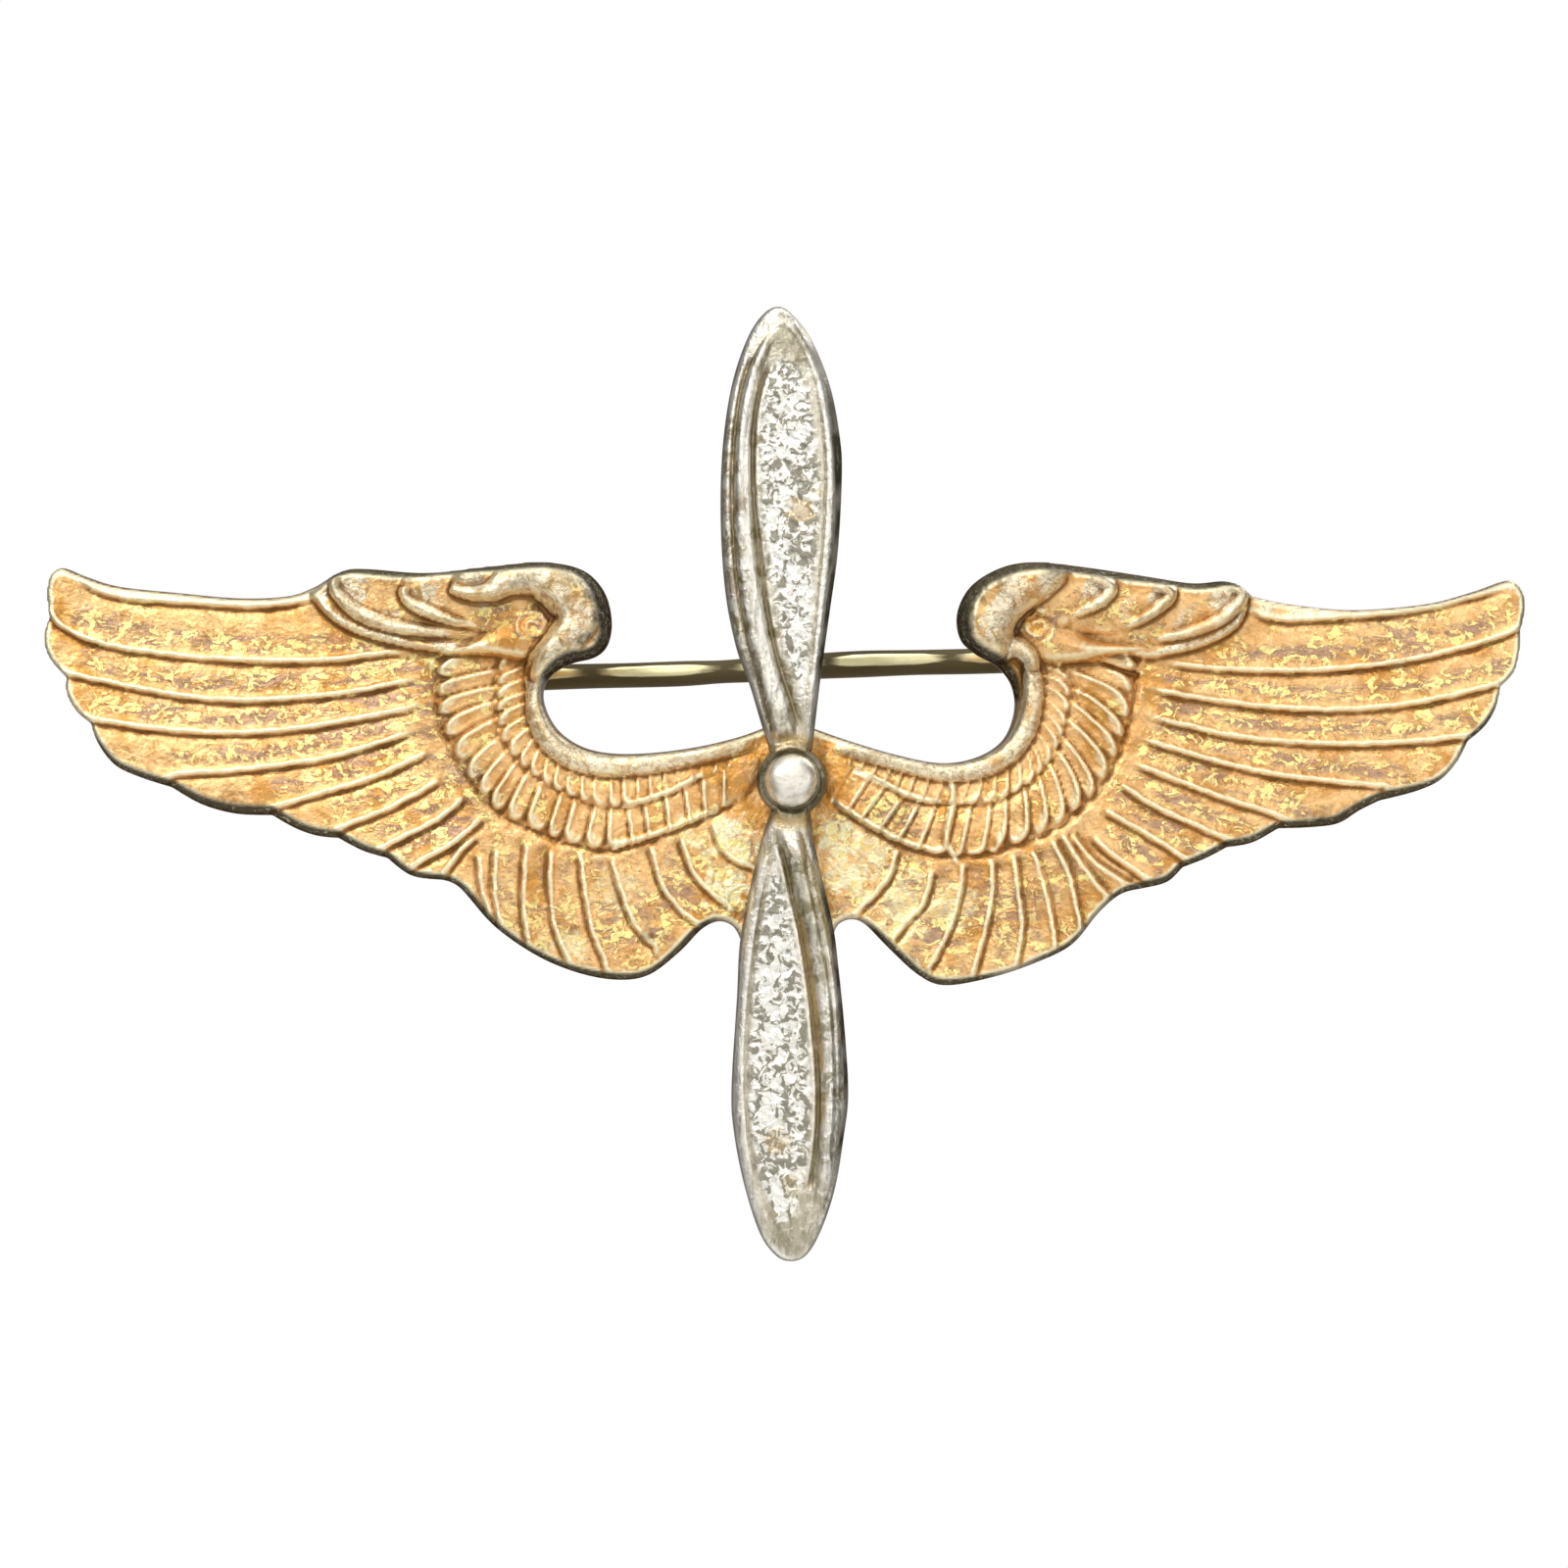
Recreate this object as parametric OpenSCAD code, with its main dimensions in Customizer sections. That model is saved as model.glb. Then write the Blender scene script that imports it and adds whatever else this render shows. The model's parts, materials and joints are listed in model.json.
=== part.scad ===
// Pilot wings pin: struck gilt wings with a silver-coloured propeller riveted over them,
// and a hinged stem with a rotating safety catch on the flat back.
// Frame: +Z up, the front faces -Y, origin on the hub's axis in the plane of the flat back.

/* [Wings] */
// Thickness of the feathered plate
plate_t = 0.8; // [0.6:0.05:0.85]
// Thickness at the two bands of small covert feathers
covert_t = 0.88; // [0.86:0.01:0.89]
// Thickness at the rolled rim along the inner edge
rim_t = 1.3; // [1.0:0.1:1.5]
// Thickness at the lapped shoulder feathers
lap_t = 1.35; // [1.0:0.05:1.5]
// Thickness at the round shoulders, the highest part of the wings
shoulder_t = 1.9; // [1.6:0.1:2.2]

/* [Propeller] */
// Height of the propeller's flat underside above the back plane
seat_y = 0.9; // [0.9:0.05:1.0]
// Thickness of the blades at their edges
blade_t = 0.55; // [0.4:0.05:0.7]
// Extra height of the ridge along each blade
ridge_t = 0.4; // [0.2:0.05:0.5]
// Radius of the hub that carries the rivet
hub_r = 0.72; // [0.65:0.01:0.8]
// Thickness of the hub
hub_t = 0.85; // [0.6:0.05:0.9]

/* [Hub rivet] */
// Radius of the rivet's domed head
dome_r = 0.52; // [0.45:0.01:0.6]
// Height of the dome above the hub
dome_h = 0.42; // [0.3:0.02:0.5]
// Radius of the rivet's shank
shank_r = 0.28; // [0.2:0.01:0.3]
// Radius of the tail, spread into a countersink flush with the back
tail_r = 0.55; // [0.45:0.05:0.65]
// Depth of the countersink
tail_t = 0.25; // [0.15:0.05:0.3]

/* [Stem] */
// Radius of the stem's wire
stem_r = 0.27; // [0.25:0.01:0.28]
// Height of the stem's axis behind the back plane
stem_y = 1.6; // [1.5:0.05:1.8]
// Height of the stem above the hub at the middle of its length
stem_z = 2.36; // [2.3:0.02:2.4]
// Slope of the stem and its fittings, in degrees
stem_tilt = 2.3; // [0:0.1:2.5]
// Length of the tapered point
point_len = 2.9; // [2.4:0.1:3.2]
// How far the point reaches past the middle of the catch
point_past = 1.4; // [1.2:0.1:1.6]

/* [Hinge and catch] */
// Distance of the hinge and of the catch from the middle of the stem
fitting_x = 7; // [6.8:0.1:7.2]
// Radius of the round patch under each fitting
patch_r = 1.2; // [1.1:0.05:1.25]
// Thickness of each patch
patch_t = 0.2; // [0.15:0.05:0.25]
// Thickness of the solder under each patch
solder_t = 0.05; // [0.04:0.01:0.08]
// Radius of the knuckle at the stem's root
knuckle_r = 0.56; // [0.5:0.02:0.6]
// Width of the knuckle, between the hinge's ears
knuckle_w = 0.8; // [0.7:0.02:0.9]
// Radius of the hinge's rivet
pivot_r = 0.22; // [0.18:0.01:0.24]
// Running clearance between moving surfaces
gap = 0.03; // [0.02:0.01:0.04]
// Radius of the bore that holds the point in the catch
throat_r = 0.34; // [0.32:0.01:0.38]
// Width of the slot that lets the stem into the catch
slot_w = 0.52; // [0.5:0.02:0.56]
// Length of the catch's fixed housing, along the stem
housing_len = 1.1; // [1.0:0.05:1.2]
// Reach of the thumb lever from the rotor's axis to the middle of its round end
lever_reach = 0.95; // [0.85:0.05:1.0]

/* [Hidden] */
$fn = 48;

gilt = "goldenrod";
silver = "silver";
nickel = "darkkhaki";
solder_grey = "lightsteelblue";

// Every outline is a chain of smooth curves through a few points of [x, z].
// Each curve starts where the last one ended, and the chain has a corner there.
curve_steps = 4;

function catmull(a, b, c, d, t) =
    0.5 * (2 * b + (c - a) * t + (2 * a - 5 * b + 4 * c - d) * t * t
           + (3 * b - a - 3 * c + d) * t * t * t);
function smooth(points) =
    let (last = len(points) - 1)
    [for (i = [0 : last - 1]) for (k = [0 : curve_steps - 1])
        catmull(points[max(i - 1, 0)], points[i], points[i + 1], points[min(i + 2, last)],
                k / curve_steps)];
function chain(curves) = [for (c = curves) each smooth(c)];

// The left wing, from the hub round to the lower blade: the inner edge and the shoulder,
// the leading edge, then one curve for each feather tip.
left_wing = [
    [[-0.5, 1.12], [-1.1, 0.9], [-2, 0.69], [-3, 0.57], [-3.8, 0.58], [-4.4, 0.75], [-4.86, 1.12],
     [-5.1, 1.68], [-4.98, 2.12], [-4.55, 2.4], [-4.05, 2.54], [-3.78, 2.8], [-3.7, 3.3],
     [-3.86, 3.9], [-4.3, 4.33], [-5.1, 4.49], [-6.2, 4.4], [-7.5, 4.27], [-8.7, 4.35],
     [-9.2, 4.31], [-9.75, 4.0]],
    [[-9.75, 4.0], [-10.3, 3.8], [-11.3, 3.75], [-12.6, 3.86], [-13.8, 3.99], [-14.5, 4.2],
     [-14.95, 4.37], [-15.19, 4.22], [-15.27, 3.85], [-15.22, 3.38]],
    [[-15.22, 3.38], [-15.33, 2.95], [-15.22, 2.52], [-14.88, 2.12]],
    [[-14.88, 2.12], [-14.87, 1.8], [-14.68, 1.44], [-14.38, 1.18]],
    [[-14.38, 1.18], [-14.24, 0.78], [-13.9, 0.34], [-13.4, 0.09], [-12.72, -0.13]],
    [[-12.72, -0.13], [-12.1, -0.48], [-11.4, -0.67], [-10.66, -0.7]],
    [[-10.66, -0.7], [-10.2, -0.96], [-9.75, -1.12], [-9.3, -1.17]],
    [[-9.3, -1.17], [-8.8, -1.43], [-8.3, -1.58]],
    [[-8.3, -1.58], [-7.8, -1.94], [-7.15, -2.03]],
    [[-7.15, -2.03], [-6.8, -2.2], [-6.1, -2.98], [-5.2, -3.6], [-4.3, -3.96], [-3.5, -4.08],
     [-2.9, -3.96], [-2.3, -3.5], [-1.85, -3.04], [-1.5, -2.88], [-1.2, -2.99], [-1.03, -3.3]],
];

// The right wing, from the lower blade round to the hub.
right_wing = [
    [[-1.03, -3.3], [-0.4, -3.5], [0.4, -3.45], [0.84, -3.2]],
    [[0.84, -3.2], [0.95, -2.95], [1.2, -2.84], [1.5, -2.94], [2, -3.44], [2.6, -3.98],
     [3.15, -4.19], [4.1, -4.03], [5, -3.73], [5.75, -3.35], [6.3, -2.7], [6.75, -2.32],
     [7.2, -2.2]],
    [[7.2, -2.2], [7.7, -2.07], [8.02, -1.77]],
    [[8.02, -1.77], [8.5, -1.58], [8.92, -1.36]],
    [[8.92, -1.36], [9.45, -1.26], [9.98, -0.97]],
    [[9.98, -0.97], [10.6, -0.95], [11.2, -0.87], [11.65, -0.6], [12.06, -0.4]],
    [[12.06, -0.4], [12.8, -0.21], [13.3, 0.02], [13.65, 0.4], [13.87, 0.82]],
    [[13.87, 0.82], [14.22, 1.13], [14.44, 1.5], [14.54, 1.94]],
    [[14.54, 1.94], [14.8, 2.22], [14.92, 2.65], [14.95, 3.12]],
    [[14.95, 3.12], [15.04, 3.6], [14.93, 3.98], [14.66, 4.11], [14, 3.89], [13, 3.63],
     [11.5, 3.51], [10.2, 3.63], [9.45, 3.79]],
    [[9.45, 3.79], [9.2, 4.0], [8.85, 4.1], [8.2, 4.06], [7.2, 4.21], [6, 4.39], [5, 4.49],
     [4.3, 4.38], [3.68, 4.0], [3.4, 3.45], [3.46, 2.92], [3.78, 2.6], [4.2, 2.36], [4.5, 1.98],
     [4.57, 1.45], [4.34, 0.85], [3.8, 0.49], [3.05, 0.37], [2.1, 0.55], [1.1, 0.85], [0.45, 1.08]],
    [[0.45, 1.08], [-0.03, 1.0], [-0.5, 1.12]],
];

// Tiers that stand on the plate, left then right: the round shoulders, the feathers
// lapped behind them, the rolled rim, and the bands of covert feathers.
left_shoulder = [[[-5.3, 2.75], [-4.95, 2.45], [-4.3, 2.66], [-3.9, 2.95], [-3.82, 3.4],
    [-3.98, 3.84], [-4.4, 4.2], [-5.1, 4.36], [-6.2, 4.26], [-6.8, 4.0], [-6.2, 3.74],
    [-5.3, 3.72], [-4.86, 3.36], [-5.3, 2.75]]];
right_shoulder = [[[4.7, 2.5], [4.3, 2.68], [3.72, 2.9], [3.54, 3.4], [3.8, 3.92], [4.36, 4.25],
    [5, 4.35], [5.5, 4.2], [5.4, 3.9], [4.8, 3.5], [4.55, 3.1], [4.7, 2.5]]];
left_laps = [[[-6.95, 4.02], [-7.7, 4.12], [-8.6, 4.18], [-9.3, 4.1], [-9.1, 3.6], [-8.2, 3.1],
    [-7.2, 2.85], [-6, 2.85], [-5.4, 3], [-5.3, 3.6], [-6.2, 3.62], [-6.95, 4.02]]];
right_laps = [[[5.62, 4.22], [6.4, 4.2], [7.6, 4.0], [8.9, 3.95], [9.2, 3.7], [8.6, 3.1],
    [7.4, 2.85], [6.2, 2.95], [5.2, 2.95], [5.1, 3.5], [5.6, 3.9], [5.62, 4.22]]];
left_rim = [[[-0.8, 0.72], [-1.1, 0.8], [-2, 0.6], [-3, 0.48], [-3.85, 0.5], [-4.45, 0.68],
    [-4.95, 1.1], [-5.2, 1.68], [-5.14, 2.1], [-5.4, 2.1], [-5.44, 1.6], [-5.2, 0.95],
    [-4.65, 0.42], [-3.9, 0.2], [-3, 0.22], [-2, 0.36], [-0.8, 0.72]]];
right_rim = [[[0.8, 0.66], [1.1, 0.74], [2.1, 0.46], [3.05, 0.27], [3.85, 0.4], [4.44, 0.8],
    [4.68, 1.45], [4.62, 2.0], [4.9, 2.1], [4.98, 1.45], [4.72, 0.65], [4.1, 0.22], [3.1, 0.05],
    [2, 0.26], [0.8, 0.66]]];
left_coverts = [[[-0.95, 0.2], [-2, 0.25], [-3, 0.1], [-4, 0.1], [-4.8, 0.32], [-5.45, 1.0],
    [-5.58, 1.8], [-5.6, 2.45], [-7.2, 2.5], [-7.3, 1.6], [-6.9, 0.5], [-6.2, -0.4], [-5.2, -1.05],
    [-4, -1.35], [-3, -1.2], [-2, -0.8], [-1, -0.35], [-0.95, 0.2]]];
right_coverts = [[[0.95, 0.2], [2, 0.15], [3.1, -0.05], [4.15, 0.1], [4.85, 0.6], [5.1, 1.45],
    [5.0, 2.4], [6.9, 2.6], [6.95, 1.6], [6.7, 0.6], [6.2, -0.3], [5.2, -1.1], [4, -1.45],
    [3, -1.35], [2, -1.05], [1, -0.55], [0.95, 0.2]]];

// The blades, each from the hub out along its left side, round the tip and back.
upper_blade = [[[-0.42, 0.5], [-0.62, 1.15], [-0.86, 1.95], [-1.13, 2.7], [-1.35, 3.8],
    [-1.45, 5.2], [-1.42, 6.7], [-1.24, 8], [-0.94, 8.95], [-0.62, 9.48], [-0.3, 9.67],
    [0, 9.52], [0.4, 9], [0.78, 8.05], [0.98, 7], [1.02, 6.2], [0.94, 4.7], [0.78, 3.5],
    [0.6, 2.2], [0.48, 1.2], [0.4, 0.5]]];
lower_blade = [[[0.36, -0.5], [0.45, -1.2], [0.62, -2], [0.84, -2.95], [0.94, -3.7],
    [1.08, -5.1], [1.15, -6.4], [1.05, -7.3], [0.88, -8.3], [0.6, -9.15], [0.3, -9.66],
    [-0.03, -9.79], [-0.34, -9.66], [-0.66, -9.2], [-0.98, -8.2], [-1.19, -7.1], [-1.23, -6.2],
    [-1.12, -4.4], [-1.06, -3.3], [-0.86, -2.2], [-0.62, -1.2], [-0.4, -0.5]]];

// The raised ridge along the thick side of each blade.
upper_ridge = [[[-0.3, 0.8], [-0.52, 1.6], [-0.8, 2.5], [-1.1, 3.8], [-1.2, 5.2], [-1.16, 6.8],
    [-0.98, 8], [-0.72, 8.8], [-0.82, 7.6], [-0.88, 6.2], [-0.82, 4.8], [-0.58, 3.4],
    [-0.2, 2.2], [0.16, 1.1], [0.1, 0.8]]];
lower_ridge = [[[-0.3, -0.8], [-0.02, -1.6], [0.2, -2.8], [0.36, -4.2], [0.48, -5.6],
    [0.5, -7], [0.46, -8.6], [0.72, -7.8], [0.86, -6.4], [0.84, -5.2], [0.68, -3.6],
    [0.42, -2.2], [0.26, -1.2], [0.16, -0.8]]];

// How far a cut runs on past the faces that it opens.
over = 1;

// Fittings, in the stem's own frame: x along the stem, from the middle of its length.
hinge_x = -fitting_x;
base_y = solder_t + patch_t;

// Solder: its fillet spreads past the patch, and ends in a lip a little below its top.
solder_spread = 0.25;
solder_lip = 0.06;

// Hinge: the bracket's floor and its two ears, and the rivet's heads.
bracket_t = 0.25;
ear_t = 0.3;
ear_z = knuckle_w / 2 + gap;
ear_half = ear_z + ear_t;
ear_r = 0.62;
floor_half = ear_r + 0.12;
pivot_head_r = 0.38;
pivot_head_t = 0.14;

// Stem: a cone-shaped root from the bottom of its socket to root_end, and a blunt tip.
socket_x = pivot_r + gap + 0.05;
root_r = stem_r + 0.05;
root_end = 1;
tip_r = 0.04;

// Catch: the spool's barrel and flanges, and the ring it turns in. The ring's waist and
// foot join it to the patch.
rotor_r = throat_r + 0.38;
flange_t = 0.22;
flange_r = rotor_r + 0.2;
lever_w = 0.42;
lever_end_r = 0.3;
lever_angle = 70;
housing_r = rotor_r + gap;
housing_outer_r = housing_r + 0.27;
mouth_w = slot_w + 0.12;
waist_w = 1;
foot_w = 1.5;
foot_t = 0.2;
foot_len = housing_len + 0.24;

// Draws a chain's shape in the XZ plane, from height y0 to y0 + t in front of the back plane.
module tier(curves, t, y0 = 0) {
    translate([0, -y0, 0])
        rotate([90, 0, 0])
            linear_extrude(t)
                polygon(chain(curves));
}

// A cylinder along Y, from y0 to y1.
module post(r, y0, y1) {
    translate([0, y1, 0])
        rotate([90, 0, 0])
            cylinder(r = r, h = y1 - y0);
}

// Places its children in the stem's own frame, at x along it.
module along_stem(x, y = 0) {
    translate([0, y, stem_z])
        rotate([0, -stem_tilt, 0])
            translate([x, 0, 0])
                children();
}

// A cylinder along X, from x0 to x1.
module bar(r, x0, x1) {
    translate([x0, 0, 0])
        rotate([0, 90, 0])
            cylinder(r = r, h = x1 - x0);
}

// A cone along X, from radius r0 at x0 to radius r1 at x1.
module taper(r0, r1, x0, x1) {
    translate([x0, 0, 0])
        rotate([0, 90, 0])
            cylinder(r1 = r0, r2 = r1, h = x1 - x0);
}

module wings() {
    color(gilt)
    difference() {
        union() {
            tier(concat(left_wing, right_wing), plate_t);
            tier(left_coverts, covert_t);
            tier(right_coverts, covert_t);
            tier(left_rim, rim_t);
            tier(right_rim, rim_t);
            tier(left_laps, lap_t);
            tier(right_laps, lap_t);
            tier(left_shoulder, shoulder_t);
            tier(right_shoulder, shoulder_t);
            post(hub_r, -seat_y, 0);
        }
        post(shank_r, -seat_y - over, over);
        countersink(over);
    }
}

// The cone that the rivet's tail is spread into, run on past the back by extra.
module countersink(extra = 0) {
    rotate([90, 0, 0])
        cylinder(r1 = tail_r, r2 = shank_r, h = tail_t);
    if (extra > 0)
        post(tail_r, 0, extra);
}

module propeller() {
    color(silver)
    difference() {
        union() {
            tier(upper_blade, blade_t, seat_y);
            tier(lower_blade, blade_t, seat_y);
            tier(upper_ridge, blade_t + ridge_t, seat_y);
            tier(lower_ridge, blade_t + ridge_t, seat_y);
            post(hub_r, -seat_y - hub_t, -seat_y);
        }
        post(shank_r, -seat_y - hub_t - over, over);
    }
}

module hub_rivet() {
    hub_y = seat_y + hub_t;
    dome_ball = (dome_r * dome_r + dome_h * dome_h) / (2 * dome_h);
    color(silver)
    union() {
        post(shank_r, -hub_y, 0);
        countersink();
        intersection() {
            translate([0, dome_ball - dome_h - hub_y, 0]) sphere(r = dome_ball);
            post(dome_r + over, -hub_y - dome_h - over, -hub_y);
        }
    }
}

// A thin bed of solder under a patch, with a sloped fillet round it.
module solder_bed() {
    color(solder_grey)
    difference() {
        rotate([-90, 0, 0])
            cylinder(r1 = patch_r + solder_spread, r2 = patch_r + solder_lip,
                     h = base_y - solder_lip);
        post(patch_r, solder_t, base_y + over);
    }
}

module patch() {
    color(nickel) post(patch_r, solder_t, base_y);
}

module hinge_solder() {
    along_stem(hinge_x) solder_bed();
}

module catch_solder() {
    along_stem(fitting_x) solder_bed();
}

module hinge_patch() {
    along_stem(hinge_x) patch();
}

module catch_patch() {
    along_stem(fitting_x) patch();
}

// One folded strip: a floor on the patch, and two round-topped ears that hold the rivet.
module hinge_bracket() {
    color(nickel)
    along_stem(hinge_x)
    difference() {
        union() {
            translate([-floor_half, base_y, -ear_half])
                cube([2 * floor_half, bracket_t, 2 * ear_half]);
            for (side = [-1, 1])
                translate([0, 0, side * (ear_z + ear_t / 2)]) {
                    translate([-ear_r, base_y, -ear_t / 2])
                        cube([2 * ear_r, stem_y - base_y, ear_t]);
                    translate([0, stem_y, 0])
                        cylinder(r = ear_r, h = ear_t, center = true);
                }
        }
        translate([0, stem_y, 0])
            cylinder(r = pivot_r, h = 2 * (ear_half + over), center = true);
    }
}

// The rivet's shank fills the ears' holes, and a flat head lies on each ear.
module hinge_rivet() {
    color(nickel)
    along_stem(hinge_x, stem_y)
    union() {
        cylinder(r = pivot_r, h = 2 * ear_half, center = true);
        for (side = [-1, 1])
            translate([0, 0, side * (ear_half + pivot_head_t / 2)])
                cylinder(r = pivot_head_r, h = pivot_head_t, center = true);
    }
}

// The stem's root, which is stoutest at the bottom of the knuckle's socket.
module stem_root() {
    taper(root_r, stem_r, socket_x, root_end);
}

// The barrel that turns on the hinge's rivet, with a socket for the wire.
module stem_knuckle() {
    color(nickel)
    along_stem(hinge_x, stem_y)
    difference() {
        cylinder(r = knuckle_r, h = knuckle_w, center = true);
        cylinder(r = pivot_r + gap, h = knuckle_w + 2 * over, center = true);
        stem_root();
    }
}

// The straight wire, its root in the knuckle's socket, and its tapered point.
module stem_wire() {
    tip_x = 2 * fitting_x + point_past;
    color(nickel)
    along_stem(hinge_x, stem_y)
    union() {
        stem_root();
        bar(stem_r, root_end, tip_x - point_len);
        taper(stem_r, tip_r, tip_x - point_len, tip_x);
    }
}

// A C-shaped ring on a foot. Its mouth faces away from the wings.
module catch_housing() {
    half = housing_len / 2;
    color(nickel)
    along_stem(fitting_x)
    difference() {
        union() {
            translate([0, stem_y, 0]) bar(housing_outer_r, -half, half);
            translate([-half, base_y, -waist_w / 2])
                cube([housing_len, stem_y - base_y, waist_w]);
            translate([-foot_len / 2, base_y, -foot_w / 2])
                cube([foot_len, foot_t, foot_w]);
        }
        translate([0, stem_y, 0]) bar(housing_r, -half - over, half + over);
        translate([-half - over, stem_y, -mouth_w / 2])
            cube([housing_len + 2 * over, housing_outer_r + over, mouth_w]);
    }
}

// A slotted spool that turns in the housing, with a flange at each end and a thumb lever.
module catch_rotor() {
    half = housing_len / 2 + gap;
    end = half + flange_t;
    color(silver)
    along_stem(fitting_x, stem_y)
    difference() {
        union() {
            bar(rotor_r, -end, end);
            bar(flange_r, -end, -half);
            bar(flange_r, half, end);
            rotate([lever_angle, 0, 0])
                translate([half, 0, -lever_w / 2]) {
                    cube([flange_t, lever_reach, lever_w]);
                    translate([0, lever_reach, lever_w / 2]) bar(lever_end_r, 0, flange_t);
                }
        }
        bar(throat_r, -end - over, end + over);
        translate([-end - over, 0, -slot_w / 2]) cube([2 * (end + over), flange_r + over, slot_w]);
    }
}

wings();
propeller();
hub_rivet();
hinge_solder();
hinge_patch();
hinge_bracket();
hinge_rivet();
stem_knuckle();
stem_wire();
catch_solder();
catch_patch();
catch_housing();
catch_rotor();
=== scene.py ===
"""A pin: struck gold-washed wings, a silver propeller over them, and a hinged stem behind.

The CAD model gives every outline and place. This script carves the feathers and the blades
as height fields inside those outlines. Lists of points are in millimetres, as [x, z] seen
from the front, and heights are measured forwards from the flat back.
"""
import json
import math

import bmesh
import bpy
import numpy as np
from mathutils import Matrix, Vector
from mathutils.geometry import tessellate_polygon


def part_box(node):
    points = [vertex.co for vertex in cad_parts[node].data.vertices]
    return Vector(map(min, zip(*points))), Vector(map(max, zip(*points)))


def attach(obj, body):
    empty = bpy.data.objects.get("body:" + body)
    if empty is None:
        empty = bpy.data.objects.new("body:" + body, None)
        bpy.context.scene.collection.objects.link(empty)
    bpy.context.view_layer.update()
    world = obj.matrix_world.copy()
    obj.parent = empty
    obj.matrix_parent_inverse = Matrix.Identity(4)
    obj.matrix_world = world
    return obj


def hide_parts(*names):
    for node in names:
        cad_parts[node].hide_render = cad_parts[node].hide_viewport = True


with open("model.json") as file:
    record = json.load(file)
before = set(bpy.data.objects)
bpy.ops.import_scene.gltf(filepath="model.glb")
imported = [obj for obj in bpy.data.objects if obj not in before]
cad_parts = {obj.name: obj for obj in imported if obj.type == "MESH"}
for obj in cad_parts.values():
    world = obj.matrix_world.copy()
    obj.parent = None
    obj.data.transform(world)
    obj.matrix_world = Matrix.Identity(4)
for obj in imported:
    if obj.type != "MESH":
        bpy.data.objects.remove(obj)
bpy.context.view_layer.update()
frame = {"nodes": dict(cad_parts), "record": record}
nodes = frame["nodes"]
MM = 0.001


# ---------------------------------------------------------------- curves

def smooth(points, steps=6):
    """A Catmull-Rom curve through given points."""
    p = np.array(points, float)
    p = np.vstack([2 * p[0] - p[1], p, 2 * p[-1] - p[-2]])
    t = np.linspace(0, 1, steps, endpoint=False)[:, None]
    out = []
    for a, b, c, d in zip(p, p[1:], p[2:], p[3:]):
        out.append(0.5 * (2 * b + (c - a) * t + (2 * a - 5 * b + 4 * c - d) * t ** 2
                          + (3 * b - a - 3 * c + d) * t ** 3))
    return np.vstack(out + [p[-2]])


def looped(points, steps=5):
    """A smooth loop through given points."""
    return smooth(points + points[:1], steps)


def lengths(path):
    """How far along a path each of its points lies."""
    return np.concatenate([[0], np.cumsum(np.linalg.norm(np.diff(path, axis=0), axis=1))])


def along(path, fraction):
    """The points at fractions of a path's length."""
    run = lengths(path)
    at = np.clip(fraction, 0, 1) * run[-1]
    return np.stack([np.interp(at, run, path[:, k]) for k in (0, 1)], axis=-1)


class Cloud:
    """Points in the plane of the front, sorted so that those near a path are found fast."""

    def __init__(self, points):
        self.points = points
        self.by_x = np.argsort(points[:, 0], kind="stable")
        self.by_z = np.argsort(points[:, 1], kind="stable")
        self.xs, self.zs = points[self.by_x, 0], points[self.by_z, 1]

    def follow(self, path, reach, legs=6):
        """For the points within reach of a path: their indices, their distance from it
        (positive on its left), and how far along it they are, from 0 to 1."""
        count = len(self.points)
        best, side, part = np.full(count, np.inf), np.ones(count), np.zeros(count)
        run = lengths(path)
        for k in range(0, len(path) - 1, legs):
            leg = path[k:k + legs + 1]
            low, high = leg.min(0) - reach, leg.max(0) + reach
            near = self.by_x[slice(*np.searchsorted(self.xs, (low[0], high[0])))]
            z = self.points[near, 1]
            near = near[(z > low[1]) & (z < high[1])]
            if not len(near):
                continue
            ab = np.diff(leg, axis=0)
            size = np.maximum((ab ** 2).sum(1), 1e-12)
            ap = self.points[near, None] - leg[None, :-1]
            t = np.clip((ap * ab).sum(2) / size, 0, 1)
            off = ap - t[..., None] * ab
            dist = np.sqrt((off ** 2).sum(2))
            pick, rows = dist.argmin(1), np.arange(len(near))
            dist, t = dist[rows, pick], t[rows, pick]
            closer = dist < best[near]
            cross = ab[pick, 0] * ap[rows, pick, 1] - ab[pick, 1] * ap[rows, pick, 0]
            reached = near[closer]
            best[reached] = dist[closer]
            side[reached] = np.where(cross >= 0, 1, -1)[closer]
            part[reached] = ((run[k + pick] + t * np.sqrt(size[pick])) / run[-1])[closer]
        near = np.flatnonzero(best < reach)
        return near, (best * side)[near], part[near]

    def inside(self, loop):
        """Whether each point is inside a closed loop."""
        flag = np.zeros(len(self.points), bool)
        for (x0, z0), (x1, z1) in zip(loop, np.roll(loop, -1, axis=0)):
            if z0 != z1:
                rows = self.by_z[slice(*np.searchsorted(self.zs, sorted((z0, z1))))]
                x, z = self.points[rows].T
                flag[rows] ^= x < x0 + (z - z0) * (x1 - x0) / (z1 - z0)
        return flag

    def depth_in(self, loop, reach):
        """Distance inside a closed loop, up to reach, and negative outside."""
        index, dist, _ = self.follow(np.vstack([loop, loop[:1]]), reach)
        depth = np.full(len(self.points), float(reach))
        depth[index] = np.abs(dist)
        return np.where(self.inside(loop), depth, -depth)


def ease(value, low, high):
    """A smooth step from 0 at low to 1 at high."""
    t = np.clip((value - low) / (high - low), 0, 1)
    return t * t * (3 - 2 * t)


def bump(value, centre, width):
    """A rounded bump, 1 at its centre and gone two widths away."""
    return np.exp(-((value - centre) / width) ** 2)


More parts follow.
